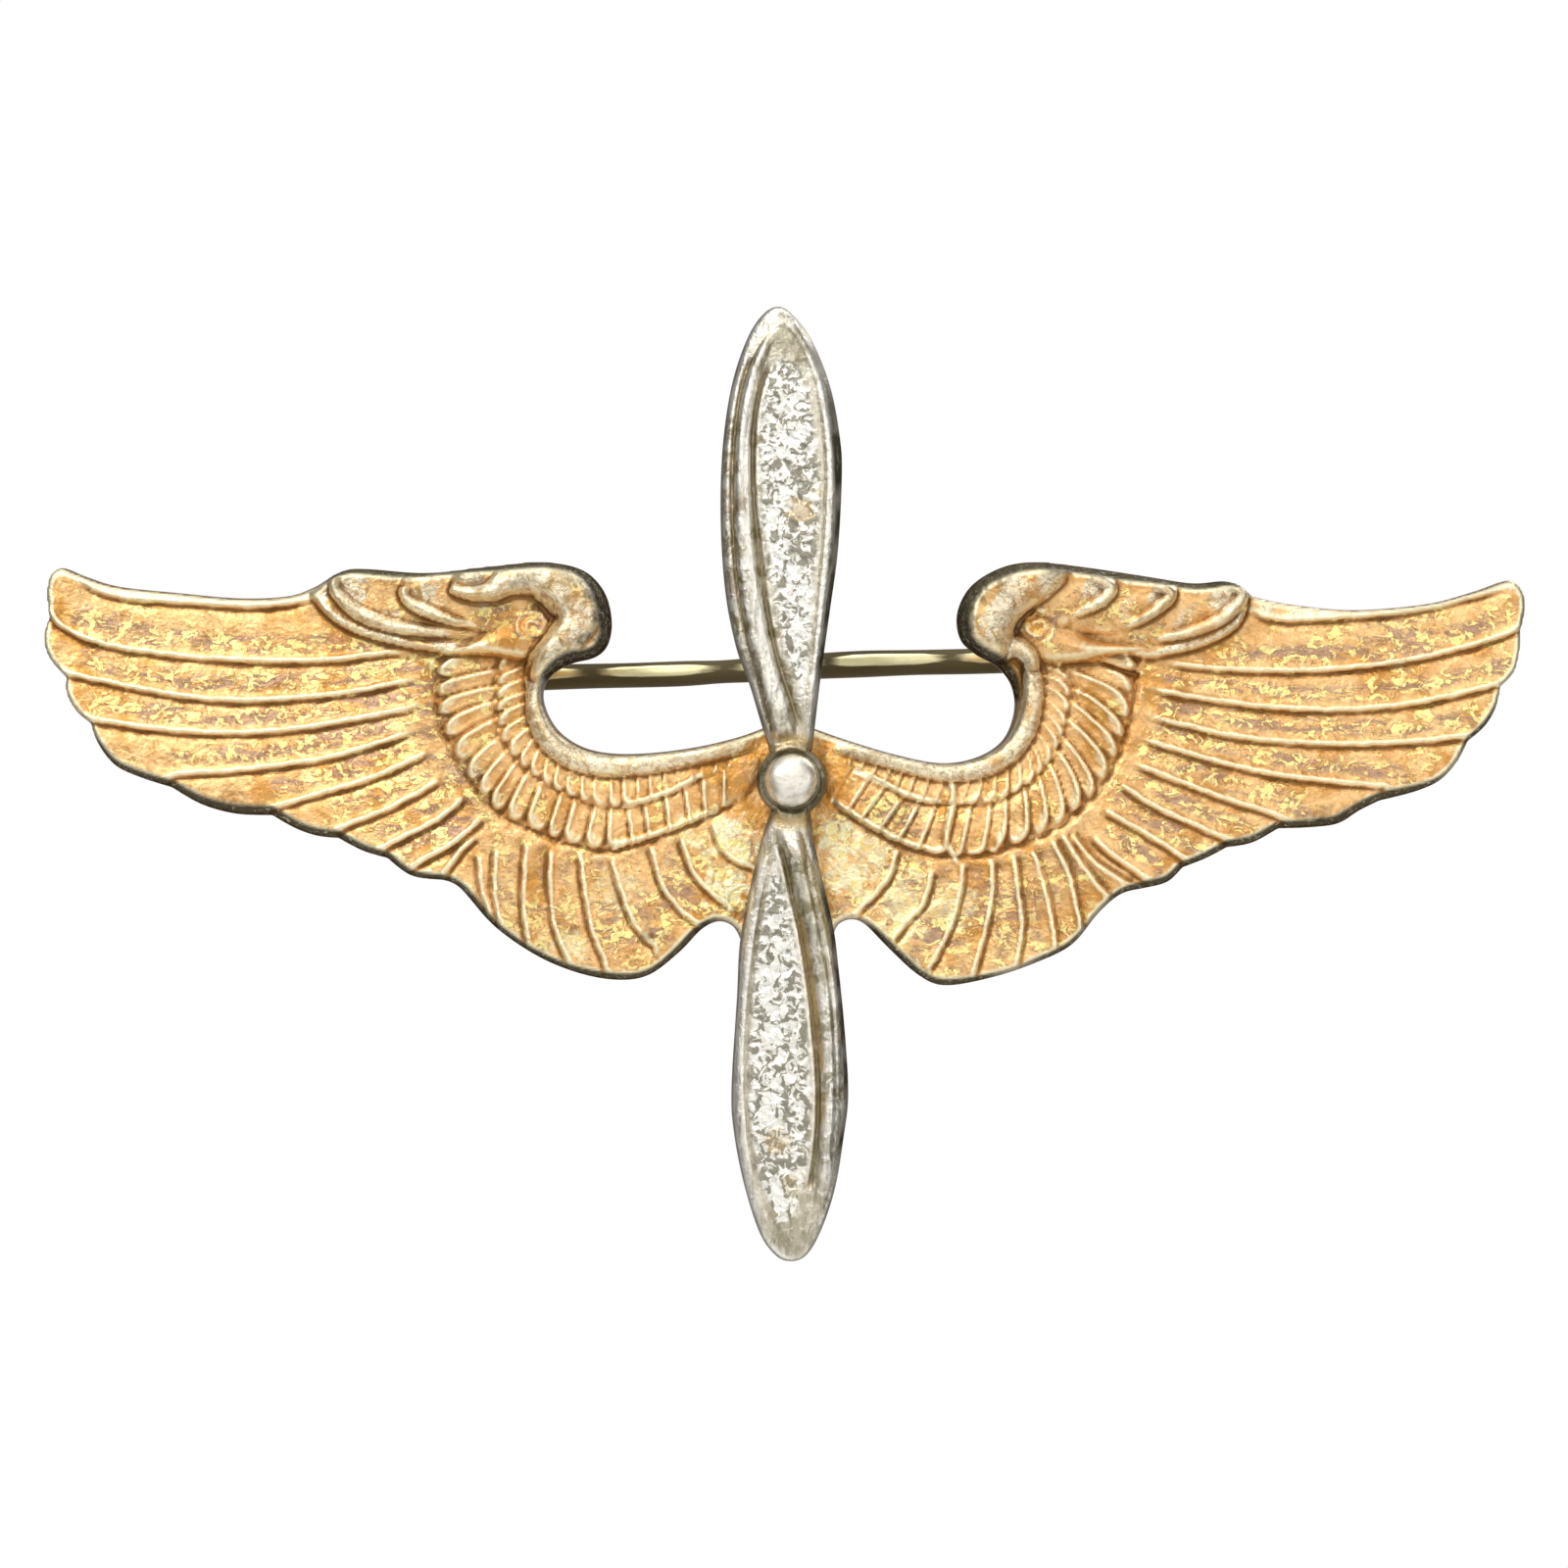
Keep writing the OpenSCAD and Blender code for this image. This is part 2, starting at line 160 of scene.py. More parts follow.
def wobble(points, scale, seed):
    """Smooth seeded noise between about -1 and 1, with features about scale wide."""
    rng = np.random.default_rng(seed)
    total = np.zeros(len(points))
    for _ in range(7):
        angle, phase = rng.uniform(0, 2 * math.pi, 2)
        wave = rng.uniform(0.7, 1.5) * 2 * math.pi / scale
        bend = rng.uniform(0.5, 1.5) * math.sin(phase)
        across = points @ np.array([math.cos(angle), math.sin(angle)])
        down = points @ np.array([-math.sin(angle), math.cos(angle)])
        total += np.sin(across * wave + bend * np.sin(down * wave * 0.7 + phase) + phase)
    return total / 4


# ---------------------------------------------------------------- outlines from the CAD

def outline_of(node, side_y):
    """The outer edge of a CAD node's flat face at height side_y, as a loop in mm."""
    mesh = nodes[node].data
    co = np.array([v.co for v in mesh.vertices]) / MM
    flat = np.abs(co[:, 1] - side_y) < 1e-3
    key = {}
    same = [key.setdefault(tuple(np.round(c, 4)), len(key)) for c in co[:, [0, 2]]]
    spot = np.array(sorted(key, key=key.get))
    edges = {}
    for face in mesh.polygons:
        v = list(face.vertices)
        if flat[v].all():
            for a, b in zip(v, v[1:] + v[:1]):
                a, b = same[a], same[b]
                if (b, a) in edges:
                    del edges[(b, a)]
                else:
                    edges[(a, b)] = True
    follows = dict(edges.keys())
    loops = []
    while follows:
        start, here = next(iter(follows.items()))
        loop = [start]
        del follows[start]
        while here != start and here in follows:
            loop.append(here)
            here = follows.pop(here)
        loops.append(spot[loop])
    return max(loops, key=lambda p: lengths(p)[-1])


def rounded(loop, corner=28, steps=3):
    """The loop with its smooth stretches resampled as curves. Sharp corners are kept."""
    before, after = loop - np.roll(loop, 1, axis=0), np.roll(loop, -1, axis=0) - loop
    turn = np.degrees(np.abs(np.arctan2(before[:, 0] * after[:, 1] - before[:, 1] * after[:, 0],
                                        (before * after).sum(1))))
    corners = list(np.flatnonzero(turn > corner))
    if not corners:
        corners = [0]
    out = []
    for a, b in zip(corners, corners[1:] + [corners[0] + len(loop)]):
        run = loop[np.arange(a, b + 1) % len(loop)]
        out.append((smooth(run, steps) if len(run) > 2 else run)[:-1])
    return np.vstack(out)


# ---------------------------------------------------------------- height fields

class Relief:
    """A plate whose front is carved: a triangulated outline with a height at each point."""

    edge_reach = 0.7  # how far inwards the distance from the outline is measured
    snap_reach = 0.35  # grid points this close to the outline, in steps, move onto it
    ridge_rounds = 10  # how widely a point's surroundings are averaged
    ridge_height = 0.03  # standing this far above its surroundings marks a point as 1
    wall_shade = 0.4  # how much of the edge's painted shade is left at the foot of the wall

    def __init__(self, outline, step):
        self.outline = outline
        low, high = outline.min(0) - 2 * step, outline.max(0) + 2 * step
        xs, zs = (np.arange(a, b, step) for a, b in zip(low, high))
        shape = (len(xs), len(zs))
        grid = np.stack(np.meshgrid(xs, zs, indexing="ij"), axis=-1).reshape(-1, 2)
        depth = Cloud(grid).depth_in(outline, 2 * step)
        grid, depth = self.snap(grid, depth, self.snap_reach * step)
        self.points, self.faces = self.fill(grid, depth, shape)
        self.cloud = Cloud(self.points)
        self.edges = self.boundary()
        self.depth = np.maximum(self.cloud.depth_in(outline, self.edge_reach), 0)
        self.depth[self.edges[:, 0]] = 0
        self.height = np.zeros(len(self.points))
        self.marks = {}
        pairs = np.array([(a, b) for f in self.faces for a, b in zip(f, f[1:] + f[:1])])
        self.pairs = np.concatenate([pairs, pairs[:, ::-1]]).T

    def snap(self, grid, depth, reach):
        """Moves the grid points close to the outline onto it."""
        closed = np.vstack([self.outline, self.outline[:1]])
        close = np.flatnonzero(np.abs(depth) < reach)
        index, _, part = Cloud(grid[close]).follow(closed, reach * 1.01)
        grid, depth = grid.copy(), depth.copy()
        grid[close[index]] = along(closed, part)
        depth[close[index]] = 0
        return grid, depth

    def fill(self, grid, depth, shape):
        """Quads where a cell is inside, and cells cut along the outline elsewhere."""
        number = np.arange(len(grid)).reshape(shape)
        corners = np.stack([number[:-1, :-1], number[1:, :-1], number[1:, 1:], number[:-1, 1:]],
                           axis=-1).reshape(-1, 4)
        count = (depth[corners] >= 0).sum(1)
        faces = corners[count == 4].tolist()
        extra, cut = [], {}

        def crossing(a, b):
            key = (min(a, b), max(a, b))
            if key not in cut:
                t = depth[a] / (depth[a] - depth[b])
                extra.append(grid[a] + t * (grid[b] - grid[a]))
                cut[key] = len(grid) + len(extra) - 1
            return cut[key]

        for cell in corners[(count > 0) & (count < 4)].tolist():
            ring = []
            for a, b in zip(cell, cell[1:] + cell[:1]):
                if depth[a] >= 0:
                    ring.append(a)
                if (depth[a] > 0 > depth[b]) or (depth[a] < 0 < depth[b]):
                    ring.append(crossing(a, b))
            if len(ring) > 2:
                faces.append(ring)
        points = np.vstack([grid, extra]) if extra else grid
        used = np.unique(np.concatenate([np.array(f) for f in faces]))
        renumber = np.full(len(points), -1)
        renumber[used] = np.arange(len(used))
        return points[used], [[int(renumber[v]) for v in f] for f in faces]

    def boundary(self):
        """The front's edges that have a face on one side only, in the faces' direction."""
        seen = {}
        for f in self.faces:
            for a, b in zip(f, f[1:] + f[:1]):
                if seen.pop((b, a), None) is None:
                    seen[(a, b)] = True
        return np.array(list(seen))

    def relaxed(self, values, rounds, keep=0.4):
        """Values averaged with their neighbours' over the mesh."""
        a, b = self.pairs
        count = np.bincount(a, minlength=len(values))
        for _ in range(rounds):
            values = keep * values + (1 - keep) * np.bincount(a, values[b], len(values)) / count
        return values

    def mark(self, name, index, value):
        """Raises a named 0 to 1 attribute at some points."""
        field = self.marks.setdefault(name, np.zeros(len(self.points)))
        field[index] = np.maximum(field[index], np.clip(value, 0, 1))

    # Carving. Every call changes the heights at the points near one path or loop.

    def pad(self, points, base, top, width, soft=0.05):
        """A cushion with a rounded edge, laid over what is there."""
        depth = self.cloud.depth_in(looped(points), width)
        t = np.clip(depth / width, 0, 1)
        height = base + (top - base) * np.sqrt(1 - (1 - t) ** 2)
        blend = ease(depth, -soft, soft)
        self.height += blend * (np.maximum(self.height, height) - self.height)

    def tube(self, points, halves, top, fade=(0.06, 0.06), mark=None, gain=1.4):
        """A rounded roll along a path, as wide as the list of half widths along it."""
        path = smooth(points)
        index, d, s = self.cloud.follow(path, max(halves))
        half = np.interp(s, np.linspace(0, 1, len(halves)), halves)
        round_top = np.sqrt(np.clip(1 - (d / half) ** 2, 0, 1))
        round_top = round_top * ease(s, 0, fade[0]) * ease(1 - s, 0, fade[1])
        rise = np.maximum(top - self.height[index], 0)
        self.height[index] += rise * round_top
        if mark:
            self.mark(mark, index, round_top * gain)

    def bead(self, points, half, height, fade=0.06):
        """A half-round bead of one width along a path."""
        index, d, s = self.cloud.follow(smooth(points), half)
        ends = ease(s, 0, fade) * ease(1 - s, 0, fade)
        self.height[index] += height * np.sqrt(1 - (d / half) ** 2) * ends

    def feather_edge(self, points, side=1, ridge=0.075, groove=0.12, fade=(0, 0.12), crust=0.0):
        """A feather's edge: a groove along a path, a ridge on one side of it, and on the
        other side the next feather, coming up from under this one. crust marks a band
        behind the ridge."""
        index, d, s = self.cloud.follow(smooth(points), 0.8)
        d = d * side + 0.012 * wobble(self.points[index], 0.5, 21)
        ends = 1
        for from_end, length in zip((s, 1 - s), fade):
            ends = ends * (ease(from_end, 0, length) if length else 1)
        uneven = 1 + 0.3 * wobble(self.points[index], 1.1, 23)
        carved = uneven * (ridge * bump(d, 0.1, 0.06) - groove * bump(d, 0, 0.038))
        under = np.where(d < 0, -0.5 * groove * np.exp(np.minimum(d, 0) / 0.2), 0)
        over = np.where(d > 0, 0.35 * ridge * np.exp(-np.maximum(d, 0) / 0.3), 0)
        self.height[index] += (carved + under * (1 - bump(d, 0, 0.03)) + over) * ends
        if crust:
            wave = d + 0.05 * wobble(self.points[index], 1.3, 31)
            self.mark("crust", index, crust * bump(wave, 0.42, 0.2) * ease(s, 0, 0.1))

    def scratch(self, points, depth, width, fade=0.15, mark=None, gain=1.3):
        """A simple round-bottomed line, or a raised one if the depth is negative."""
        index, d, s = self.cloud.follow(smooth(points), 3 * width)
        line = bump(d, 0, width) * ease(s, 0, fade) * ease(1 - s, 0, fade)
        self.height[index] -= depth * line
        if mark:
            self.mark(mark, index, line * gain)

    def spot(self, name, spots, seed):
        """Marks ragged patches, each given as [x, z, radius, strength]."""
        ragged = 0.35 * wobble(self.points, 0.45, seed) + 0.2 * wobble(self.points, 0.16, seed + 1)
        for x, z, radius, strength in spots:
            r = np.linalg.norm(self.points - (x, z), axis=1) / radius
            self.mark(name, slice(None), strength * ease(1.15 - r + ragged, 0, 0.5))

    # The finished piece.

    def build(self, name, back_y, bevel=0.05):
        """The closed mesh: carved front, straight wall, narrow bevel and flat back."""
        count = len(self.points)
        after = dict(self.edges.tolist())
        order, here = [], int(self.edges[0, 0])
        while not order or here != order[0]:
            order.append(here)
            here = after[here]
        loop = self.points[order]
        tangent = np.roll(loop, -3, axis=0) - np.roll(loop, 3, axis=0)
        tangent /= np.maximum(np.linalg.norm(tangent, axis=1), 1e-9)[:, None]
        inward = np.stack([-tangent[:, 1], tangent[:, 0]], axis=1)
        size = len(order)
        wall = [(x, back_y - bevel, z) for x, z in loop]
        foot = [(x, back_y, z) for x, z in loop + inward * bevel * 0.8]
        co = [(x, -h, z) for (x, z), h in zip(self.points, self.height)] + wall + foot
        faces = [list(f) for f in self.faces]
        for k in range(size):
            n = (k + 1) % size
            faces.append([order[n], order[k], count + k, count + n])
            faces.append([count + n, count + k, count + size + k, count + size + n])
        front = len(faces)
        for a, b, c in tessellate_polygon([[Vector((x, z, 0)) for x, _, z in foot]]):
            (ax, _, az), (bx, _, bz), (cx, _, cz) = foot[a], foot[b], foot[c]
            turn = (bx - ax) * (cz - az) - (bz - az) * (cx - ax)
            faces.append([count + size + v for v in ([a, c, b] if turn > 0 else [a, b, c])])
        mesh = bpy.data.meshes.new(name)
        mesh.from_pydata([tuple(MM * v for v in c) for c in co], [], faces)
        flags = np.ones(len(faces), bool)
        flags[front:] = False
        mesh.polygons.foreach_set("use_smooth", flags)
        around = self.relaxed(self.height, self.ridge_rounds)
        self.marks["ridge"] = (self.height - around) / self.ridge_height
        for key, field in self.marks.items():
            # The walls keep part of the shade painted at the edge.
            wall = self.wall_shade * field[order] if key == "dark" else np.zeros(size)
            mesh.attributes.new(key, "FLOAT", "POINT").data.foreach_set(
                "value", np.concatenate([field, wall, np.zeros(size)]).astype(np.float32))
        obj = bpy.data.objects.new(name, mesh)
        bpy.context.scene.collection.objects.link(obj)
        return obj


# ---------------------------------------------------------------- wings

WING_STEP = 0.042
FIELD = 0.72  # the height between the feathers' edges
WALL = 0.3  # the lowest height at the outline
TOP_OF_PLATE = 0.86  # the highest that fits under the propeller

# The long feathers' lower edges, from the outer end inwards or the inner end outwards,
# always from left to right, so that each feather's ridge is above its groove.
LEFT_LONG = [
    [[-15.24, 3.4], [-15, 3.12], [-14.4, 2.81], [-13.5, 2.6], [-12, 2.43], [-10.5, 2.37],
     [-9.3, 2.4], [-8.3, 2.53], [-7.4, 2.52]],
    [[-14.9, 2.14], [-14.2, 1.98], [-13, 1.74], [-11.8, 1.58], [-10.5, 1.59], [-9, 1.73],
     [-8, 1.93], [-7.45, 2.0]],
    [[-14.4, 1.2], [-13.5, 1.05], [-12.2, 0.92], [-11, 0.91], [-10, 1.0], [-9, 1.17],
     [-8, 1.36], [-7.3, 1.56]],
    [[-12.8, -0.08], [-12.5, 0.07], [-11.5, 0.12], [-10.3, 0.26], [-9.3, 0.43], [-8.4, 0.7],
     [-7.5, 1.02]],
    [[-10.66, -0.64], [-10.3, -0.54], [-9.6, -0.33], [-8.8, -0.1], [-8, 0.22], [-7.3, 0.56]],
    [[-9.34, -1.12], [-9, -0.95], [-8.3, -0.68], [-7.6, -0.32], [-7.1, 0.0]],
    [[-8.42, -1.5], [-8, -1.27], [-7.3, -0.92], [-6.85, -0.6], [-6.6, -0.3]],
    [[-7.9, -1.93], [-7.62, -1.75], [-7.0, -1.42], [-6.5, -1.03], [-6.25, -0.75]],
    [[-7.05, -1.95], [-6.75, -1.55], [-6.4, -1.16]],
]
RIGHT_LONG = [
    [[7.3, 2.42], [8, 2.28], [9, 2.2], [10.2, 2.17], [11.5, 2.24], [12.7, 2.4], [13.8, 2.66],
     [14.6, 2.92], [15.0, 3.12]],
    [[7.05, 1.88], [7.75, 1.71], [8.7, 1.56], [9.8, 1.42], [11.1, 1.38], [12.3, 1.45],
     [13.5, 1.66], [14.6, 1.95]],
    [[7.05, 1.3], [8, 1.06], [9, 0.84], [10.2, 0.71], [11.5, 0.67], [12.8, 0.73], [13.95, 0.86]],
    [[7.0, 0.82], [8, 0.51], [9, 0.23], [10, 0.03], [11, -0.09], [12.1, -0.18]],
    [[6.9, 0.3], [8, -0.13], [9, -0.5], [9.7, -0.7], [10.05, -0.86]],
    [[6.6, -0.07], [7.2, -0.5], [8, -0.89], [8.95, -1.3]],
    [[6.3, -0.65], [7, -1.04], [7.6, -1.4], [8.05, -1.7]],
    [[6.06, -1.16], [6.4, -1.5], [7.02, -1.94], [7.25, -2.1]],
]

# The lower feathers' edges, from the coverts down. The ridge is on the propeller's side.
LEFT_SHORT = [
    [[-6.5, -1.5], [-6.45, -2.1], [-6.28, -2.66]],
    [[-6.14, -1.35], [-6.17, -2.3], [-6.03, -2.95]],
    [[-5.5, -1.15], [-5.58, -2.4], [-5.47, -3.42]],
    [[-5.0, -1.3], [-5.04, -2.08], [-4.93, -2.99], [-4.62, -3.78]],
    [[-4.42, -1.4], [-4.35, -2.08], [-4.19, -2.99], [-3.82, -3.95]],
    [[-3.8, -1.5], [-3.55, -2.35], [-3.28, -2.99], [-2.88, -3.42]],
    [[-2.98, -1.3], [-2.77, -2.08], [-2.4, -2.63], [-1.92, -3.03]],
    [[-2.36, -1.15], [-2.13, -1.85], [-1.76, -2.31], [-1.36, -2.6]],
    [[-1.7, -0.85], [-1.57, -1.3], [-1.28, -1.64], [-0.85, -1.84]],
]
RIGHT_SHORT = [
    [[5.75, -1.0], [6.25, -1.58], [6.95, -2.05]],
    [[5.6, -1.0], [6.0, -1.65], [6.6, -2.42]],
    [[5.35, -1.1], [5.72, -1.77], [5.91, -2.54], [6.0, -2.95]],
    [[5.0, -1.3], [5.28, -2.25], [5.43, -2.98], [5.48, -3.48]],
    [[4.62, -1.4], [4.72, -2.25], [4.8, -2.98], [4.66, -3.84]],
    [[4.18, -1.5], [4.19, -2.25], [4.07, -2.98], [3.78, -4.0]],
    [[3.6, -1.6], [3.53, -2.25], [3.34, -2.98], [2.9, -3.85]],
    [[2.98, -1.8], [2.76, -2.54], [2.37, -2.98], [2.15, -3.3]],
    [[2.25, -1.35], [2.08, -1.96], [1.74, -2.4], [1.38, -2.75]],
]

# The two rows of small coverts lie between three curves, from the shoulder to the hub.
LEFT_COVERTS = [
    [[-5.4, 2.5], [-5.38, 1.9], [-5.33, 1.35], [-5.1, 0.78], [-4.67, 0.39], [-4.1, 0.15],
     [-3.5, 0.07], [-2.86, 0.2], [-2, 0.31], [-0.7, 0.5]],
    [[-6.0, 2.5], [-6.04, 1.9], [-6.05, 1.4], [-5.93, 0.83], [-5.5, 0.29], [-4.87, -0.15],
     [-4.2, -0.44], [-3.5, -0.54], [-2.63, -0.3], [-2.0, 0.0], [-1.5, 0.2]],
    [[-7.3, 2.5], [-7.3, 2.1], [-7.26, 1.43], [-7.0, 0.7], [-6.6, 0.02], [-6.03, -0.62],
     [-5.28, -1.02], [-4.5, -1.3], [-3.78, -1.43], [-3, -1.23], [-2.08, -0.88], [-0.95, -0.33]],
]
RIGHT_COVERTS = [
    [[5.0, 2.5], [5.08, 1.95], [5.02, 1.35], [4.85, 0.7], [4.38, 0.27], [3.65, 0.1],
     [2.92, 0.2], [2, 0.43], [0.72, 0.7]],
    [[5.45, 2.5], [5.7, 2.03], [5.66, 1.45], [5.45, 0.7], [4.98, 0.06], [4.3, -0.38],
     [3.6, -0.5], [2.5, -0.4], [1.69, 0.06], [1.2, 0.3]],
    [[7.14, 2.6], [7.02, 2.1], [6.96, 1.5], [6.7, 0.6], [6.25, -0.22], [5.52, -0.87],
     [4.75, -1.26], [3.83, -1.5], [2.86, -1.48], [1.94, -1.16], [0.82, -0.46]],
]

# The rolled rims round the two loops.
RIM_ROLLS = [
    ([[-5.3, 2.3], [-5.2, 1.9], [-5.2, 1.4], [-4.98, 0.88], [-4.55, 0.52], [-4.0, 0.34], [-3.3, 0.33],
      [-2.4, 0.46], [-1.5, 0.64], [-0.6, 0.87]], [0.24, 0.25, 0.24, 0.2], 1.02, (0.06, 0.17)),
    ([[4.85, 2.5], [4.92, 2.1], [4.9, 1.5], [4.72, 0.95], [4.32, 0.5], [3.75, 0.27], [3.1, 0.22],
      [2.3, 0.4], [1.4, 0.64], [0.6, 0.9]], [0.2, 0.25, 0.24, 0.2], 1.02, (0.06, 0.17)),
]

# The shoulders, and the feathers lapped behind them. A pad is its loop, the height at its edge,
# its top, the width of its rounded edge and how soft it ends. A roll is its path, its half
# widths, its top and its fades.
LEFT_PADS = [
    ([[-9.85, 3.78], [-9.5, 3.38], [-9.0, 3.06], [-8.3, 2.86], [-7.5, 2.66], [-6.66, 2.62], [-5.8, 2.7],
      [-5.3, 3.0], [-5.2, 4.7], [-7.5, 4.6], [-9, 4.6]], 0.8, 0.98, 0.2),
    ([[-9.36, 4.3], [-9.42, 3.96], [-9.23, 3.62], [-8.85, 3.32], [-8.3, 3.1], [-7.44, 2.94], [-6.4, 2.86],
      [-5.5, 3.0], [-5.2, 3.5], [-5.2, 4.7], [-7.5, 4.7], [-9, 4.7]], 0.93, 1.15, 0.5),
    ([[-8.03, 4.0], [-7.92, 3.68], [-7.5, 3.4], [-6.9, 3.17], [-6.0, 3.0], [-5.3, 3.1], [-5.2, 4.7],
      [-7.5, 4.7]], 1.1, 1.32, 0.5),
    ([[-6.98, 4.0], [-6.7, 3.77], [-6.1, 3.72], [-5.7, 3.85], [-5.2, 3.9], [-4.8, 3.6], [-4.75, 3.2],
      [-4.95, 2.85], [-5.2, 2.5], [-5.3, 2.1], [-4.9, 2.0], [-4.4, 2.2], [-3.5, 2.4], [-3.3, 3.5],
      [-3.7, 4.5], [-5, 4.9], [-6.5, 4.8]], 1.2, 1.6, 0.4),
    ([[-5.9, 3.5], [-5.5, 3.75], [-4.95, 3.6], [-4.7, 3.2], [-4.85, 2.75], [-5.3, 2.45], [-6.2, 2.55],
      [-7.2, 2.6], [-6.4, 2.95]], 1.0, 1.3, 0.5, 0.15),
]
LEFT_ROLLS = [
    ([[-9.3, 4.25], [-9.32, 3.92], [-9.1, 3.64], [-8.75, 3.38], [-8.2, 3.18], [-7.44, 3.06], [-6.7, 3.0]],
      [0.1, 0.17, 0.15, 0.08], 1.32, (0.02, 0.3)),
    ([[-9.7, 3.78], [-9.4, 3.42], [-9.0, 3.16], [-8.4, 2.95], [-7.5, 2.76], [-6.7, 2.74], [-6.0, 2.84]],
      [0.1, 0.1, 0.1, 0.08], 1.05, (0.1, 0.2)),
    ([[-7.92, 3.95], [-7.82, 3.68], [-7.45, 3.47], [-6.9, 3.27], [-6.3, 3.14]], [0.1, 0.15, 0.12, 0.05],
      1.5, (0.02, 0.35)),
    ([[-6.95, 3.95], [-6.72, 3.84], [-6.33, 3.8], [-6.05, 3.87], [-5.8, 4.03], [-5.45, 4.14], [-5.1, 4.12],
      [-4.75, 3.9], [-4.45, 3.6], [-4.36, 3.3], [-4.55, 3.0], [-4.85, 2.7], [-5.12, 2.45], [-5.25, 2.15],
      [-5.25, 1.85]], [0.1, 0.18, 0.34, 0.45, 0.5, 0.4, 0.26, 0.2], 1.9, (0.02, 0.2)),
]
RIGHT_LAPPED_PADS = [
    ([[9.34, 3.8], [9.3, 3.5], [9.05, 3.08], [8.5, 2.76], [7.75, 2.56], [7.2, 2.5], [6.0, 2.75],
      [5.0, 3.0], [5.2, 4.7], [7.2, 4.7], [9, 4.7]], 0.8, 0.96, 0.2),
    ([[9.3, 3.86], [9.03, 3.37], [8.6, 3.08], [8.0, 2.9], [7.24, 2.75], [6.2, 2.8], [5.4, 3.0], [5.2, 3.5],
      [5.3, 4.7], [7.2, 4.8], [9.2, 4.8]], 0.9, 1.12, 0.5),
    ([[7.88, 3.8], [7.5, 3.43], [7.1, 3.14], [6.6, 3.0], [6.0, 3.0], [5.4, 3.05], [5.2, 3.5], [5.3, 4.7],
      [7.2, 4.8], [7.85, 4.4]], 1.05, 1.3, 0.5),
    ([[6.62, 3.9], [6.41, 3.59], [6.0, 3.38], [5.5, 3.12], [5.2, 3.3], [4.9, 3.5], [5.2, 4.8], [6.3, 4.8]],
      1.2, 1.45, 0.5),
]
RIGHT_LAPPED_ROLLS = [
    ([[8.9, 4.05], [9.18, 3.8], [8.95, 3.47], [8.55, 3.2], [7.95, 3.0], [7.24, 2.86]],
      [0.12, 0.15, 0.13, 0.06], 1.27, (0.1, 0.3)),
    ([[9.24, 3.6], [9.08, 3.24], [8.7, 2.98], [8.15, 2.78], [7.6, 2.66], [7.2, 2.62]],
      [0.08, 0.09, 0.09, 0.06], 1.0, (0.1, 0.2)),
    ([[7.3, 4.0], [7.7, 3.83], [7.5, 3.56], [7.1, 3.28], [6.7, 3.12]], [0.1, 0.15, 0.12, 0.05], 1.45,
      (0.1, 0.35)),
    ([[6.0, 4.2], [6.46, 3.95], [6.32, 3.68], [5.95, 3.48], [5.6, 3.3]], [0.1, 0.15, 0.12, 0.05], 1.58,
      (0.1, 0.35)),
]
RIGHT_ROUND_PADS = [
    ([[4.55, 2.7], [4.5, 3.2], [4.9, 3.6], [5.4, 3.6], [5.7, 3.2], [6.2, 2.9], [7.1, 2.7], [6.0, 2.45],
      [5.1, 2.4]], 1.0, 1.3, 0.5, 0.15),
    ([[5.58, 4.0], [5.2, 3.66], [4.8, 3.42], [4.56, 3.15], [4.5, 2.85], [4.3, 2.5], [3.9, 2.45],
      [3.2, 2.6], [3.1, 3.6], [3.6, 4.6], [5, 4.9], [5.7, 4.5]], 1.25, 1.92, 0.6),
]
RIGHT_ROUND_ROLLS = [
    ([[4.3, 2.75], [4.6, 2.72], [4.85, 2.5], [4.92, 2.2]], [0.3, 0.2, 0.15], 1.5, (0.15, 0.2)),
]

